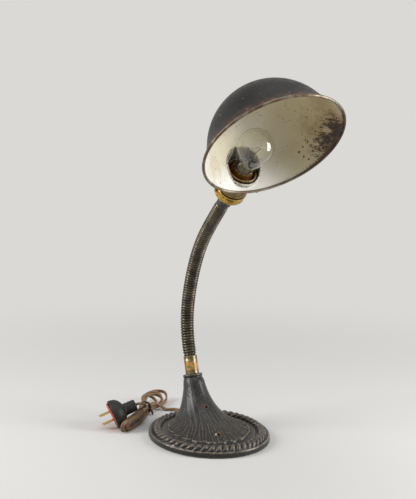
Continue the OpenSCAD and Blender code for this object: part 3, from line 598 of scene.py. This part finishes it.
def loft(name, sections, frame, around=40, power=2.6):
    """Rounded-oblong sections (height, half width x, half width y) joined into a closed piece."""
    a = np.linspace(0, 2 * np.pi, around, endpoint=False)
    c, s = np.cos(a), np.sin(a)
    shape = np.stack([np.sign(c) * np.abs(c)**(2 / power), np.sign(s) * np.abs(s)**(2 / power)], 1)
    rings = [np.c_[shape * (x, y), np.full(around, z)] for z, x, y in sections]
    return crisp(skin(name, placed(rings, *frame), ends=True), 50)


KEY = (placed([[0, 0, 39]], *SOCKET)[0], SOCKET[1] @ turn("z", 70) @ turn("y", 90))
key = loft("switch_moulded_key", [
    (24, 2.4, 2.4), (24.2, 3, 3), (24.8, 3.2, 3.2), (26.3, 3.2, 3.1), (27, 3.4, 2.5), (27.8, 4.2, 1.9),
    (29, 4.5, 1.75), (32, 4.5, 1.7), (33, 4.2, 1.5), (33.45, 3.4, 1)], KEY)


def dark_sleeve(t, p, fine):
    return {"Base Color": laid(t, "#3a3f44", "#6d6758", fine, 0.45, 0.75, 0.8),
            "Roughness": (fine, 0.34, 0.5), "relief": [(fine, 0.04)]}


def vent_holes(t, p):
    """1 in the cap's two small holes, 20 mm from the socket's axis, which are not cut but painted black as
    shade.
    """
    found = []
    for degrees in (-36, -54):
        x, y = 20 * math.cos(math.radians(degrees)), 20 * math.sin(math.radians(degrees))
        found.append(near(t, p, placed([[x, y, 29.8]], *SOCKET)[0], 0.75, 0.2))
    return add(t, "Math", dict(enumerate(found)), operation="MAXIMUM")


def hammered_brass(t, p, broad, fine):
    marks = add(t, "TexVoronoi", Vector=p, Scale=1000 / 2.381, feature="SMOOTH_F1")
    brass = laid(t, "#b08a3c", "#d2ac5c", broad, 0.4, 0.65)
    brass = laid(t, brass, "#4a3820", fine, 0.52, 0.74, 0.85)
    # The two vent holes painted near-black: painted shade.
    return {"Base Color": laid(t, brass, "#0b0805", vent_holes(t, p)), "Roughness": (fine, 0.2, 0.42),
            "relief": [(marks, 0.28)]}


def dull_brass(t, p, broad, fine):
    lift = along(t, p, SOCKET)
    brass = laid(t, "#5c503c", "#9a8251", broad, 0.38, 0.62)
    brass = laid(t, brass, "#2a241b", fine, 0.5, 0.72, 0.75)
    # Painted shade: near-black below the groove where the shell meets the cap.
    brass = laid(t, "#0c0a07", brass, lift, 0.0339, 0.0343)
    # Painted shade, with dirt: darker brown where the shell stands in the shade's collar, below its lip.
    above = add(t, "MapRange", {1: 0.051, 2: 0.054}, Value=lift)
    below = add(t, "MapRange", {1: 0.0664, 2: 0.0669, 3: 1.0, 4: 0.0}, Value=lift)
    recess_shade = add(t, "Math", {0: above, 1: below}, operation="MULTIPLY")
    return {"Base Color": laid(t, brass, "#1d1610", recess_shade, most=0.85), "Roughness": (fine, 0.3, 0.52),
            "relief": [(fine, 0.04)]}


def brown_moulding(t, p, fine):
    return {"Base Color": laid(t, "#1b1613", "#3a2e26", fine, 0.4, 0.7, 0.5),
            "Roughness": (fine, 0.28, 0.44), "relief": [(fine, 0.02)]}


# Blue-black heat oxide: a dim slate shine, rubbed to drab steel in spots.
SLEEVE = material("steel, blued, aged", dark_sleeve, [(2, 4)], Metallic=0.75)
# Polished once, dimpled all over: a broken yellow glitter with brown in the dimples.
CAP = material("brass, spun and hammered", hammered_brass, [(8, 4), (1.5, 4)], Metallic=1.0)
# Never polished since: olive-brown and satin, with painted shade black in its groove and dark brown below
# its lip, which is also dirty there.
SHELL = material("brass, drawn, tarnished", dull_brass, [(11, 4), (1.7, 5)], Metallic=0.9)
# Pressed resin: almost black, with a soft even shine.
RESIN = material("phenolic, brown-black, moulded", brown_moulding, [(3, 4)])
for piece, mat, body, node, slot in (
        (ferrule, SLEEVE, "socket", "upper_ferrule", "dark_sleeve"),
        (cap, CAP, "socket", "socket_cap", "cap_brass"),
        (shell, SHELL, "socket", "socket_shell", "shell_brass"),
        (key, RESIN, "key", "switch_key", "bakelite")):
    piece.data.materials.append(mat)
    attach(piece, body)
    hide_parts(node)

# ---------------------------------------------------------------- bulb
# Clear blown-glass round bulb, 45 mm, on a brass screw base; its stem, supports and filament are
# finished with the small pieces below.

GLOBE, GLOBE_AT, GLASS_WALL = 22.5, 110.8, 0.6
THROAT, THROAT_AT = 12.2, 75.0
# The ball starts where a line from the throat touches it.
far = math.hypot(THROAT, THROAT_AT - GLOBE_AT)
start = math.atan2(THROAT_AT - GLOBE_AT, THROAT) + math.acos(GLOBE / far)
ball = [(GLOBE * math.cos(a), GLOBE_AT + GLOBE * math.sin(a))
        for a in np.linspace(start, math.pi / 2 - 0.02, 60)]
skirt = spline([(THROAT, 69), (THROAT, 74), (12.5, 76.5), ball[0], ball[3]], 0.8)[:-3]
outer = np.vstack([skirt, ball[2:]])


def inner_side(profile, wall):
    """The inner side of a thin wall, whose outer side is the profile."""
    slope = unit(np.gradient(profile, axis=0))
    return profile - wall * np.c_[slope[:, 1], -slope[:, 0]]


inner = inner_side(outer, GLASS_WALL)
envelope = lathe("bulb_clear_glass", np.vstack([outer, inner[::-1]]), SOCKET, 128, loop=True)
# Thin clear glass: seen by its bright rim and one window of light. It casts hardly any shadow.
GLASS = material("soda-lime glass, clear, blown", **{
    "Base Color": "#fbfaf4", "Roughness": 0.0, "Transmission Weight": 1.0, "IOR": 1.46})
tree = GLASS.node_tree
either = add(tree, "MixShader", {
    0: add(tree, "LightPath", out="Is Shadow Ray"), 1: tree.nodes["Principled BSDF"].outputs[0],
    2: add(tree, "BsdfTransparent", Color="#f3f1ea")})
tree.links.new(either, tree.nodes["Material Output"].inputs["Surface"])
envelope.data.materials.append(GLASS)
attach(envelope, "socket")
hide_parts("bulb_glass")

# ---------------------------------------------------------------- shade
# Dome spun from sheet steel, 0.9 mm, with its edge rolled on a wire and a split collar that grips the
# socket. Brown-black enamel outside, cream-white inside, rusted through along the edge and scorched.

SHADE = (placed([[26, 0, 142.3]], *SOCKET)[0], SOCKET[1] @ turn("y", -89))
DOME, FLARE, FLARE_AT, SHEET, MOUTH, BEAD = 78.5, 145, (208.65, 80.1), 0.9, 87.53, 1.8
meeting = DOME * math.sin(math.radians(21))


def wall(depth):
    """The dome's outer radius at a depth above its mouth: a ball that flares out below where they meet."""
    flare = FLARE_AT[0] - np.sqrt(FLARE**2 - (FLARE_AT[1] - np.minimum(depth, meeting))**2)
    return np.where(depth < meeting, flare, np.sqrt(np.maximum(DOME**2 - depth**2, 0)))


# Rows and columns of points, closer together round the pinhole.
depths = np.unique(np.r_[np.linspace(0.9, meeting, 26), np.linspace(24, 31, 15),
                         np.linspace(meeting, 50, 20),
                         78.49 * np.sin(np.radians(np.linspace(39.5, 89.4, 40)))])
turns = np.unique(np.r_[np.linspace(-180, 180, 300)[:-1], np.linspace(-52, -42, 18)])
outline = np.stack([wall(depths), depths], 1)
lining = inner_side(outline, SHEET)


def cut(points, frame, at, size, above=0):
    """Which points lie in an oval hole about a frame's Z, and the points moved out to its edge."""
    rel = (points - np.asarray(frame[0])) @ frame[1] - np.array([at[0], at[1], 0])
    r = np.linalg.norm(rel[..., :2] / np.array(size), axis=-1)
    hit = (r < 1) & (rel[..., 2] > above) & (rel[..., 2] < 135)
    rel[..., :2] *= (np.where(hit, 1 / np.maximum(r, 1e-6), 1))[..., None]
    return hit, (rel + np.array([at[0], at[1], 0])) @ frame[1].T + np.asarray(frame[0])


PINHOLE = (SHADE[0], SHADE[1] @ turn("z", -47) @ turn("y", 67))
FITTER_AT, FITTER = np.array([-1.9, 0]), np.array([22.6, 23.2])


def shade_side(name, profile, flip):
    """One face of the sheet, with the collar's oval hole and a pinhole cut in it."""
    a = np.radians(turns)[None, :]
    points = np.stack([profile[:, :1] * np.cos(a), profile[:, :1] * np.sin(a), profile[:, 1:] + 0 * a], -1)
    in_fitter, points = cut(placed(points, *SHADE), SOCKET, FITTER_AT, FITTER)
    in_pinhole, points = cut(points, PINHOLE, (0, 0), (1.2, 1.2), 20)
    gone = in_fitter | in_pinhole
    n, m = gone.shape
    made = skin(name, points, marks={"depth": np.repeat(profile[:, 1:], m, 1) * 0.01,
                                     "turn": np.repeat(turns[None, :] / 360 + 0.5, n, 0)})
    work = bmesh.new()
    work.from_mesh(made.data)
    drop = [face for face in work.faces if all(gone.flat[v.index] for v in face.verts)]
    bmesh.ops.delete(work, geom=drop, context="FACES")
    if flip:
        bmesh.ops.reverse_faces(work, faces=work.faces)
    work.to_mesh(made.data)
    work.free()
    return made


shade_out = shade_side("shade_outer_enamel", outline, False)
shade_in = shade_side("shade_inner_enamel", lining, True)

# The split collar: a sleeve round the socket shell, its upper edge turned over the hole's edge.
a = np.radians(np.linspace(208, 562, 150))[None, :]
compass = np.stack([np.cos(a), np.sin(a)], -1)
level = np.full_like(a, 68.0)
# Twelve rounds bring the turned edge down on to the sheet all the way round.
for _ in range(12):
    rim = np.concatenate([compass * FITTER + FITTER_AT, level[..., None]], -1)
    deep = (placed(rim, *SOCKET) - SHADE[0]) @ SHADE[1]
    miss = np.linalg.norm(deep[..., :2], axis=-1) - wall(np.clip(deep[..., 2], 0, 78)) + SHEET
    level = level + 0.6 * miss
level = np.maximum(level, 63.5)
GRIP_RADIUS, GRIP_FOOT = 21.9, 51
# Each ring: how much wider it is, how much higher, how far it has gone from grip to hole, its paint.
rings, painted = [], []
for wider, lift, share, paint in (
        (-2.2, 51, 0, 0), (-1.6, 51, 0, 0), (-0.7, 51, 0, 0), (-0.7, 0, 0.35, 0), (-0.5, 0, 0.7, 0.6),
        (-0.1, -1.2, 1, 0.9), (0.9, -1.1, 1, 1), (0.9, 0.5, 1, 1), (0.2, 1.3, 1, 1), (-0.7, 1.1, 1, 1),
        (-1.1, 0.2, 1, 0.6), (-1.1, -1.5, 1, 0.1), (-1.3, 0, 0.7, 0), (-1.5, 0, 0.35, 0),
        (-2.2, 52, 0, 0)):
    flat = compass * (FITTER * share + GRIP_RADIUS * (1 - share) + wider) + FITTER_AT * share
    tall = (level * share + GRIP_FOOT * (1 - share) + lift) if share else np.full_like(a, lift)
    rings.append(np.concatenate([flat, tall[..., None]], -1)[0])
    painted.append([paint] * a.size)
collar = skin("shade_split_collar", placed(np.array(rings), *SOCKET), wrap=False, loop=True,
              marks={"lip": painted})
roll = np.radians(np.linspace(0, 360, 25)[:-1])
bead = lathe("shade_rolled_edge", np.c_[MOUTH + BEAD * np.cos(roll), BEAD * np.sin(roll)], SHADE, 288,
             loop=True)


def patch(t, p, *stains, most=1.0):
    """The strongest of several stains, each (x, y, z, radius, fade) in mm."""
    found = None
    for x, y, z, size, fade in stains:
        one = near(t, p, (x, y, z), size, fade, most)
        found = one if found is None else add(t, "Math", {0: found, 1: one}, operation="MAXIMUM")
    return found


def ragged(t, p, weight, size, spread):
    """A weight broken up by noise of a size in mm, by up to spread each way."""
    noise = add(t, "TexNoise", Vector=p, Scale=1000 / size, Detail=8.0, Roughness=0.68)
    noise = add(t, "MapRange", {1: 0.25, 2: 0.75, 3: -spread, 4: spread}, Value=noise)
    return add(t, "Math", {0: weight, 1: noise}, operation="ADD")


def dots(t, p, cell, radius, weight):
    """Ragged spots of a radius in mm, one in each cell that weight lets through."""
    cells = add(t, "TexVoronoi", out=None, Vector=p, Scale=1000 / cell)
    chosen = add(t, "SeparateColor", out=None, Color=cells["Color"])
    noise = add(t, "TexNoise", Vector=p, Scale=1000 / 1.6, Detail=3.0, Roughness=0.7)
    noise = add(t, "MapRange", {3: -0.22, 4: 0.22}, Value=noise)
    far = add(t, "Math", {0: cells["Distance"], 1: noise}, operation="ADD")
    size = add(t, "MapRange", {3: 0.4 * radius / cell, 4: 1.3 * radius / cell}, Value=chosen["Green"])
    inside = add(t, "Math", {0: far, 1: size}, operation="LESS_THAN")
    kept = add(t, "Math", {0: chosen["Red"], 1: weight}, operation="LESS_THAN")
    return add(t, "Math", {0: inside, 1: kept}, operation="MULTIPLY")


def rising(t, fade, turn_stops):
    """A weight that fades with depth from the edge and changes round the shade. Depths are in units of
    100 mm, and turns run from 0 to 1."""
    low, high, most = fade
    depth = add(t, "Attribute", out="Fac", attribute_name="depth")
    turned = add(t, "Attribute", out="Fac", attribute_name="turn")
    depth = add(t, "MapRange", {1: low, 2: high, 3: most, 4: 0.0}, Value=depth)
    turned = add(t, "ValToRGB", Fac=turned, stops=turn_stops)
    return add(t, "Math", {0: depth, 1: turned}, operation="MULTIPLY")


def old_enamel(t, p, broad, fine, pits, dents):
    coat = laid(t, "#0b0a0a", "#161311", broad, 0.38, 0.65)
    coat = laid(t, coat, "#302a24", fine, 0.52, 0.78, 0.5)
    rust = rising(t, (0.0, 0.2, 1.0), [(0.12, 0.0), (0.24, 0.9), (0.5, 1.0), (0.64, 0.2)])
    rust = ragged(t, p, rust, 9, 0.55)
    coat = laid(t, coat, "#3b261b", rust, 0.3, 0.8, 0.8)
    coat = laid(t, coat, "#7c4a2b", ragged(t, p, rust, 2.4, 0.5), 0.74, 1.0, 0.7)
    coat = laid(t, coat, "#75695a", dots(t, p, 6, 0.8, 0.4))
    drawn = add(t, "VectorMath", {0: p, 1: (3.0, 0.5, 1.0)}, operation="MULTIPLY")
    scuffs = add(t, "TexNoise", Vector=drawn, Scale=1000 / 3, Detail=5.0, Roughness=0.7)
    return {"Base Color": laid(t, coat, "#71675a", scuffs, 0.59, 0.7, 0.6), "Roughness": (fine, 0.34, 0.55),
            "relief": [(dents, 1.2), (pits, 0.06)]}


def cream_enamel(t, p, broad, fine):
    coat = laid(t, "#e4e3de", "#d8d5c9", broad, 0.36, 0.68)
    # Yellowed by heat in broad olive patches, which are partly painted shade, with tan and warm stains in
    # it.
    olive = patch(t, p, (170, 40, 452, 50, 110), (110, 66, 430, 20, 80), (104, 70, 388, 12, 62), most=0.74)
    coat = laid(t, coat, "#b8a672", olive)
    tan = patch(t, p, (156, 70, 434, 8, 46), (130, 76, 412, 8, 44), (170, 52, 452, 6, 30))
    coat = laid(t, coat, "#947645", ragged(t, p, tan, 15, 0.7), 0.3, 1.0, 0.45)
    warm = patch(t, p, (91, -49, 368, 6, 26), (150, -84, 402, 10, 26))
    coat = laid(t, coat, "#b89a60", ragged(t, p, warm, 8, 0.6), 0.4, 1.0, 0.34)
    # Burnt through to brown and black in wisps on one side.
    burnt = rising(t, (0.03, 0.36, 1.12), [(0.655, 0.0), (0.7, 1.0), (0.775, 0.95), (0.83, 0.0)])
    bare = near(t, p, (139, 79, 413), 2, 6, 0.45)
    wisps = add(t, "VectorMath", {0: p, 1: (0.6, 1.0, 1.6)}, operation="MULTIPLY")
    burnt = ragged(t, wisps, add(t, "Math", {0: burnt, 1: bare}, operation="SUBTRACT"), 8, 0.6)
    coat = laid(t, coat, "#624726", burnt, 0.3, 0.8, 0.92)
    coat = laid(t, coat, "#1d140e", ragged(t, wisps, burnt, 2, 0.75), 0.5, 0.85, 0.95)
    # Rust freckles, a pinhole's black edge and the brown line along the rim.
    edge = patch(t, p, (119, 76, 389, 8, 26), (128, 79, 398, 4, 22), most=0.6)
    coat = laid(t, coat, "#6f4c1f", dots(t, p, 4.6, 1.5, edge))
    wide = patch(t, p, (110, 60, 425, 30, 60), (84, 20, 352, 4, 40), most=0.35)
    coat = laid(t, coat, "#604527", dots(t, p, 8, 0.8, wide))
    coat = laid(t, coat, "#3a2b1d", dots(t, p, 15, 0.8, 0.35))
    coat = laid(t, coat, "#17120e", near(t, p, (108.9, 69, 398.8), 1.1, 0.5))
    rim = rising(t, (0.01, 0.06, 1.0), [(0.5, 0.25), (0.6, 1.0), (0.82, 1.0), (0.9, 0.3)])
    coat = laid(t, coat, "#5d4126", ragged(t, p, rim, 4, 0.6), 0.5, 0.9, 0.85)
    return {"Base Color": coat, "Roughness": (fine, 0.36, 0.54), "relief": [(fine, 0.05)]}


def collar_steel(t, p, fine):
    lip = add(t, "Attribute", out="Fac", attribute_name="lip")
    tone = laid(t, "#827d73", "#544e44", fine, 0.4, 0.7, 0.9)
    tone = laid(t, tone, laid(t, "#d6d2c6", "#8a7452", fine, 0.42, 0.6), lip)
    return {"Base Color": tone, "Metallic": add(t, "MapRange", {3: 0.6, 4: 0.0}, Value=lip),
            "Roughness": (fine, 0.34, 0.52), "relief": [(fine, 0.05)]}


def rolled_edge(t, p, broad, fine, bare):
    steel = laid(t, "#5e4a36", "#8f8674", broad, 0.42, 0.6)
    steel = laid(t, steel, "#33261b", fine, 0.52, 0.7, 0.85)
    steel = laid(t, steel, "#3a2b1f", patch(t, p, (140, 85, 400, 45, 50), most=0.75))
    metal = add(t, "MapRange", {1: 0.45, 2: 0.6, 3: 0.3, 4: 0.9}, Value=bare)
    return {"Base Color": steel, "Metallic": metal, "Roughness": (fine, 0.3, 0.52), "relief": [(fine, 0.06)]}


# Stoved enamel, worn: a low dark gloss over faint dents, grey scuffs, and rust creeping from the edge.
OUTSIDE = material("enamel, brown-black, aged", old_enamel,
                   [(30, 4), (4, 5, 0.65), (3, 4), (60, 2)], **{"Specular IOR Level": 0.22})
# Once white, to throw the light: cream and softly shining, yellowed in olive patches that are partly
# painted shade, burnt brown to black on one side, with rust freckles.
INSIDE = material("enamel, cream, scorched and stained", cream_enamel, [(34, 4), (3, 5, 0.65)],
                  **{"Coat Weight": 0.1, "Specular IOR Level": 0.4})
# Half rust, half bare steel: the line that hands and cloths have kept bright.
EDGE = material("steel, rolled, worn to metal", rolled_edge, [(16, 4), (2, 4), (20, 3)])
# Dull plated sleeve, with the lining's cream paint on its turned lip.
GRIP = material("steel, split collar, plated and dulled", collar_steel, [(2.4, 4)])
for piece, mat, node, slot in (
        (shade_out, OUTSIDE, "shade_shell", "shade_enamel"),
        (shade_in, INSIDE, "shade_shell", "shade_enamel"),
        (bead, EDGE, "shade_bead", "worn_rim"), (collar, GRIP, "shade_collar", "collar_steel")):
    piece.data.materials.append(mat)
    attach(piece, "shade")
    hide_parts(node)

# ---------------------------------------------------------------- tie and plug
# Twisted black tie of rubber-covered wire round the hank's waist. Round moulded rubber plug, rubbed grey
# on its edges, with a red fibre disc let into its face and two folded brass blades.

TIE_WIRE = 1.25
# Two turns round the waist, and the twisted ends beside them.
angle = np.linspace(0, 4 * np.pi, 121)
c, s = np.cos(angle), np.sin(angle)
waist = np.c_[-1.6 + 3.2 * angle / (4 * np.pi), 0.2 + 7.3 * np.sign(c) * np.abs(c)**0.8,
              9.4 + 7.9 * np.sign(s) * np.abs(s)**0.8]
knot = [(1.8, 8, 9), (2.4, 9.8, 6.8), (1.2, 10.9, 4.8), (-1, 10.6, 3.4), (-2, 9.4, 4.6), (-0.6, 9, 6.4),
        (1.4, 10, 6), (2.4, 11.2, 3.6), (3, 12.2, 1.6)]
a = np.linspace(0, 2 * np.pi, 13)[:-1]
wire = TIE_WIRE * np.stack([np.cos(a), np.sin(a)], 1)
tie = sweep("hank_tie", placed(waist, *HANK), HANK[1][:, :1].T, wire)
twist = sweep("hank_tie_knot", placed(spline(knot, 0.5), *HANK),
              HANK[1][:, :1].T + 0.3 * HANK[1][:, 1:2].T, wire)
PLUG = ((-88, -99, 18.27), turn("z", -102) @ turn("y", 110.5))
plug = crisp(lathe("plug_moulded_body", [
    (0, -2), (17.4, -2), (17.5, -1.7), (17.6, -0.3), (17.9, 0), (19, 0), (19.4, -0.3), (19.7, -1.4),
    (19.8, -3.6), (19.7, -4.6), (19.3, -6.4), (18.8, -8.1), (17.8, -10.4), (16.1, -12.8), (14.6, -14.3),
    (12.5, -15.6), (10.6, -16.5), (9.2, -17.2), (8.5, -18.6), (8.2, -21), (8.15, -25), (8.4, -25.6),
    (8.4, -26.2), (8.1, -26.8), (8, -31), (7.8, -33.1), (7.2, -33.8), (0, -33.8)], PLUG, 96), 40)
# The disc sits a little askew in its seat, as an old one does.
DISC = (placed([[0, 0, 0.7]], *PLUG)[0], PLUG[1] @ turn("y", 5.5))
disc = crisp(lathe("plug_fibre_disc", [
    (0, -1.2), (17, -1.2), (17.2, -1), (17.2, 0.1), (17, 0.3), (0, 0.3)], DISC, 96))
# Height, half thickness and half width up a blade.
blade = [(-7, 0.75, 3.15), (0, 0.75, 3.15), (13, 0.75, 3.15), (15.4, 0.74, 3.0), (16.6, 0.66, 2.5),
         (17.4, 0.4, 1.6)]
blades = [loft("plug_blade_" + name, blade, (placed([[x, 0, 0]], *PLUG)[0], PLUG[1]), 32, 7)
          for name, x in (("left", -6.35), ("right", 6.35))]


def black_rubber(t, p, broad, fine):
    coat = laid(t, "#0c0b0b", "#201e1d", broad, 0.4, 0.68, 0.8)
    coat = laid(t, coat, "#4d4945", fine, 0.56, 0.74, 0.5)
    return {"Base Color": coat, "Roughness": (broad, 0.42, 0.62), "relief": [(fine, 0.06)]}


def red_fibre(t, p, broad, fine):
    return {"Base Color": laid(t, "#b8452b", "#8e3320", broad, 0.4, 0.7, 0.7),
            "Roughness": (fine, 0.5, 0.64), "relief": [(fine, 0.04)]}


def blade_brass(t, p, fine):
    return {"Base Color": laid(t, "#cba75a", "#8e6f36", fine, 0.45, 0.7, 0.6),
            "Roughness": (fine, 0.22, 0.4), "relief": [(fine, 0.02)]}


# Old moulded rubber: black, with a dry bloom where it has been handled.
RUBBER = material("rubber, black, moulded", black_rubber, [(9, 4), (1.6, 4)],
                  **{"Specular IOR Level": 0.35})
# Pressed paper fibre: brick red, matt and slightly mottled.
FIBRE = material("vulcanised fibre, red, stamped", red_fibre, [(6, 4), (2, 4)])
# Sheet brass, wiped clean by the socket: bright, with brown at the folds.
BLADE = material("brass, rolled and folded", blade_brass, [(2, 4)], Metallic=1.0)
for piece, mat, node, slot in (
        (tie, RUBBER, "cord_tie", "tie_rubber"), (twist, RUBBER, "cord_tie", "tie_rubber"),
        (plug, RUBBER, "plug_body", "plug_rubber"), (disc, FIBRE, "plug_disc", "plug_fibre"),
        (blades[0], BLADE, "plug_prongs", "prong_brass"), (blades[1], BLADE, "plug_prongs", "prong_brass")):
    piece.data.materials.append(mat)
    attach(piece, "base")
    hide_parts(node)

# ---------------------------------------------------------------- small and inner pieces
# Turned, drawn and moulded hardware, from the nipple in the horn to the bulb's filament. Their shapes
# stand as they are: each gets its own finish, with wear in spots of its own size in mm.


def plain(name, tone, worn, size, rough, metal=0.0, depth=0.03):
    """A finish of one tone worn towards another in spots of a size in mm."""
    def paint(t, p, spots, fine):
        return {"Base Color": laid(t, tone, worn, spots, 0.4, 0.7, 0.9),
                "Roughness": (spots, rough, rough + 0.14), "relief": [(fine, depth)]}
    return material(name, paint, [(size, 4), (size * 0.4, 3)], Metallic=metal)


THREAD = plain("brass, machined", "#a88a48", "#6b552c", 3, 0.3, 1.0)  # clean cut, dull yellow
ZINC = plain("steel, zinc-plated", "#85847f", "#5c5a55", 3, 0.34, 1.0)  # even cool grey
CARD = plain("card, pressed", "#8f8468", "#6e6449", 4, 0.75, depth=0.06)  # matt, fibrous
PORCELAIN = plain("porcelain, glazed", "#e6e0d0", "#cfc6b0", 12, 0.18)  # off-white with a hard gloss
COPPER = plain("copper, drawn", "#b5693a", "#6f4326", 2, 0.32, 1.0)  # orange going brown
SCREW = plain("bronze, turned", "#9a6a3c", "#54381f", 1.5, 0.34, 1.0)  # red-brown glint
RUSTY = plain("brass, pressed, corroded", "#a9763a", "#4a2c17", 2.2, 0.34, 0.85, 0.12)  # pitted, half brown
BUSH = plain("vulcanised fibre, brown", "#3f2418", "#5c3a26", 3, 0.5)  # dark, waxy
COVER = plain("cotton braid over rubber, brown", "#6b4a2c", "#4c341f", 1.2, 0.8, depth=0.08)  # matt, soft
LEAD = plain("nickel wire, oxidised", "#8a7c68", "#4f4538", 1, 0.34, 0.9)  # thin drab line
SOLDER = plain("solder, dull", "#9c9c98", "#6c6b66", 2, 0.4, 0.9)  # soft grey
BLACK_GLASS = plain("glass, black, pressed", "#1b1a1c", "#2c2a2c", 3, 0.14)  # wet black
# Heavy grey glass, drawn by hand: it bends the light round the filament's supports.
STEM = material("lead glass, drawn", **{
    "Base Color": "#8e8d86", "Roughness": 0.1, "Transmission Weight": 1.0, "IOR": 1.52})
finishes = {
    "horn_nipple": THREAD, "nipple_locknut": ZINC, "cord_bushing": BUSH, "base_cord": FLEX,
    "ferrule_screw": SCREW, "cap_screw": SCREW, "shell_liner": CARD, "socket_insulator": PORCELAIN,
    "terminal_screws": THREAD, "socket_leads": COPPER, "screw_shell": RUSTY, "centre_contact": THREAD,
    "switch_shaft": ZINC, "bulb_base": RUSTY, "bulb_insulator": BLACK_GLASS, "bulb_contact": SOLDER,
    "bulb_stem": STEM, "bulb_leads": LEAD, "bulb_filament": LEAD}
finishes.update({"neck_wire_%02d" % k: COVER for k in range(1, 12)})
for name, mat in finishes.items():
    for place in frame["nodes"][name].material_slots:
        place.material = mat

# ---------------------------------------------------------------- floor and light
# Pale paper floor that runs out of sight into the same pale colour, under two tall soft boxes and a
# soft top light.


def soft_box(name, azimuth, distance, height, aim, width, tall, power):
    """An area light at an azimuth, a distance out and a height, turned to a point above the lamp's foot."""
    lamp = bpy.data.lights.new(name, "AREA")
    lamp.shape, lamp.size, lamp.size_y, lamp.energy = "RECTANGLE", width, tall, power
    made = bpy.data.objects.new(name, lamp)
    a = math.radians(azimuth)
    where = np.array([distance * math.sin(a), -distance * math.cos(a), height])
    back = unit(where - np.array([0, 0, aim], float))
    side = unit(np.cross([0, 0, 1], back))
    made.matrix_world = standing([side, np.cross(back, side), back], where)
    bpy.context.scene.collection.objects.link(made)


def seen(tree):
    """1 for camera, glossy and transmission rays."""
    rays = add(tree, "LightPath", out=None)
    kinds = {0: rays["Is Glossy Ray"], 1: rays["Is Transmission Ray"]}
    kinds = {0: rays["Is Camera Ray"], 1: add(tree, "Math", kinds, operation="MAXIMUM")}
    return add(tree, "Math", kinds, operation="MAXIMUM")


BACKDROP = "#dad9d6"
# Matt paper: no shine, the lamp's shadow near its foot, and further out the plain backdrop colour.
FLOOR = material("paper backdrop, matt", **{"Base Color": "#d2d1ce", "Roughness": 0.95,
                                            "Specular IOR Level": 0.1})
tree = FLOOR.node_tree
far = add(tree, "VectorMath", {0: add(tree, "TexCoord", out="Object")}, "Value", operation="LENGTH")
fade = add(tree, "MapRange", {1: 0.22, 2: 0.85}, Value=far, interpolation_type="SMOOTHSTEP")
share = add(tree, "Math", {0: fade, 1: seen(tree)}, operation="MULTIPLY")
both = add(tree, "MixShader", {0: share, 1: tree.nodes["Principled BSDF"].outputs[0],
                               2: add(tree, "Emission", Color=BACKDROP, Strength=1.0)})
tree.links.new(both, tree.nodes["Material Output"].inputs["Surface"])
REACH = 6000
floor = skin("floor", [[(x, y, 0) for x in (-REACH, REACH)] for y in (-REACH, REACH)], wrap=False)
floor.data.materials.append(FLOOR)
soft_box("right soft box", azimuth=140, distance=1.15, height=0.45, aim=0.22, width=0.5, tall=0.9, power=14)
soft_box("left soft box", azimuth=-20, distance=1.25, height=0.7, aim=0.2, width=0.6, tall=0.8, power=15)
soft_box("top soft box", azimuth=90, distance=0.1, height=1.55, aim=0, width=0.9, tall=0.9, power=6)
world = bpy.data.worlds.new("world")
bpy.context.scene.world = world
world.use_nodes = True
tree = world.node_tree
both = add(tree, "MixShader", {0: seen(tree), 1: add(tree, "Background", Color="#e6e7ea", Strength=0.4),
                               2: add(tree, "Background", Color=BACKDROP, Strength=1.0)})
tree.links.new(both, tree.nodes["World Output"].inputs["Surface"])
bpy.context.scene.view_settings.view_transform = "Standard"
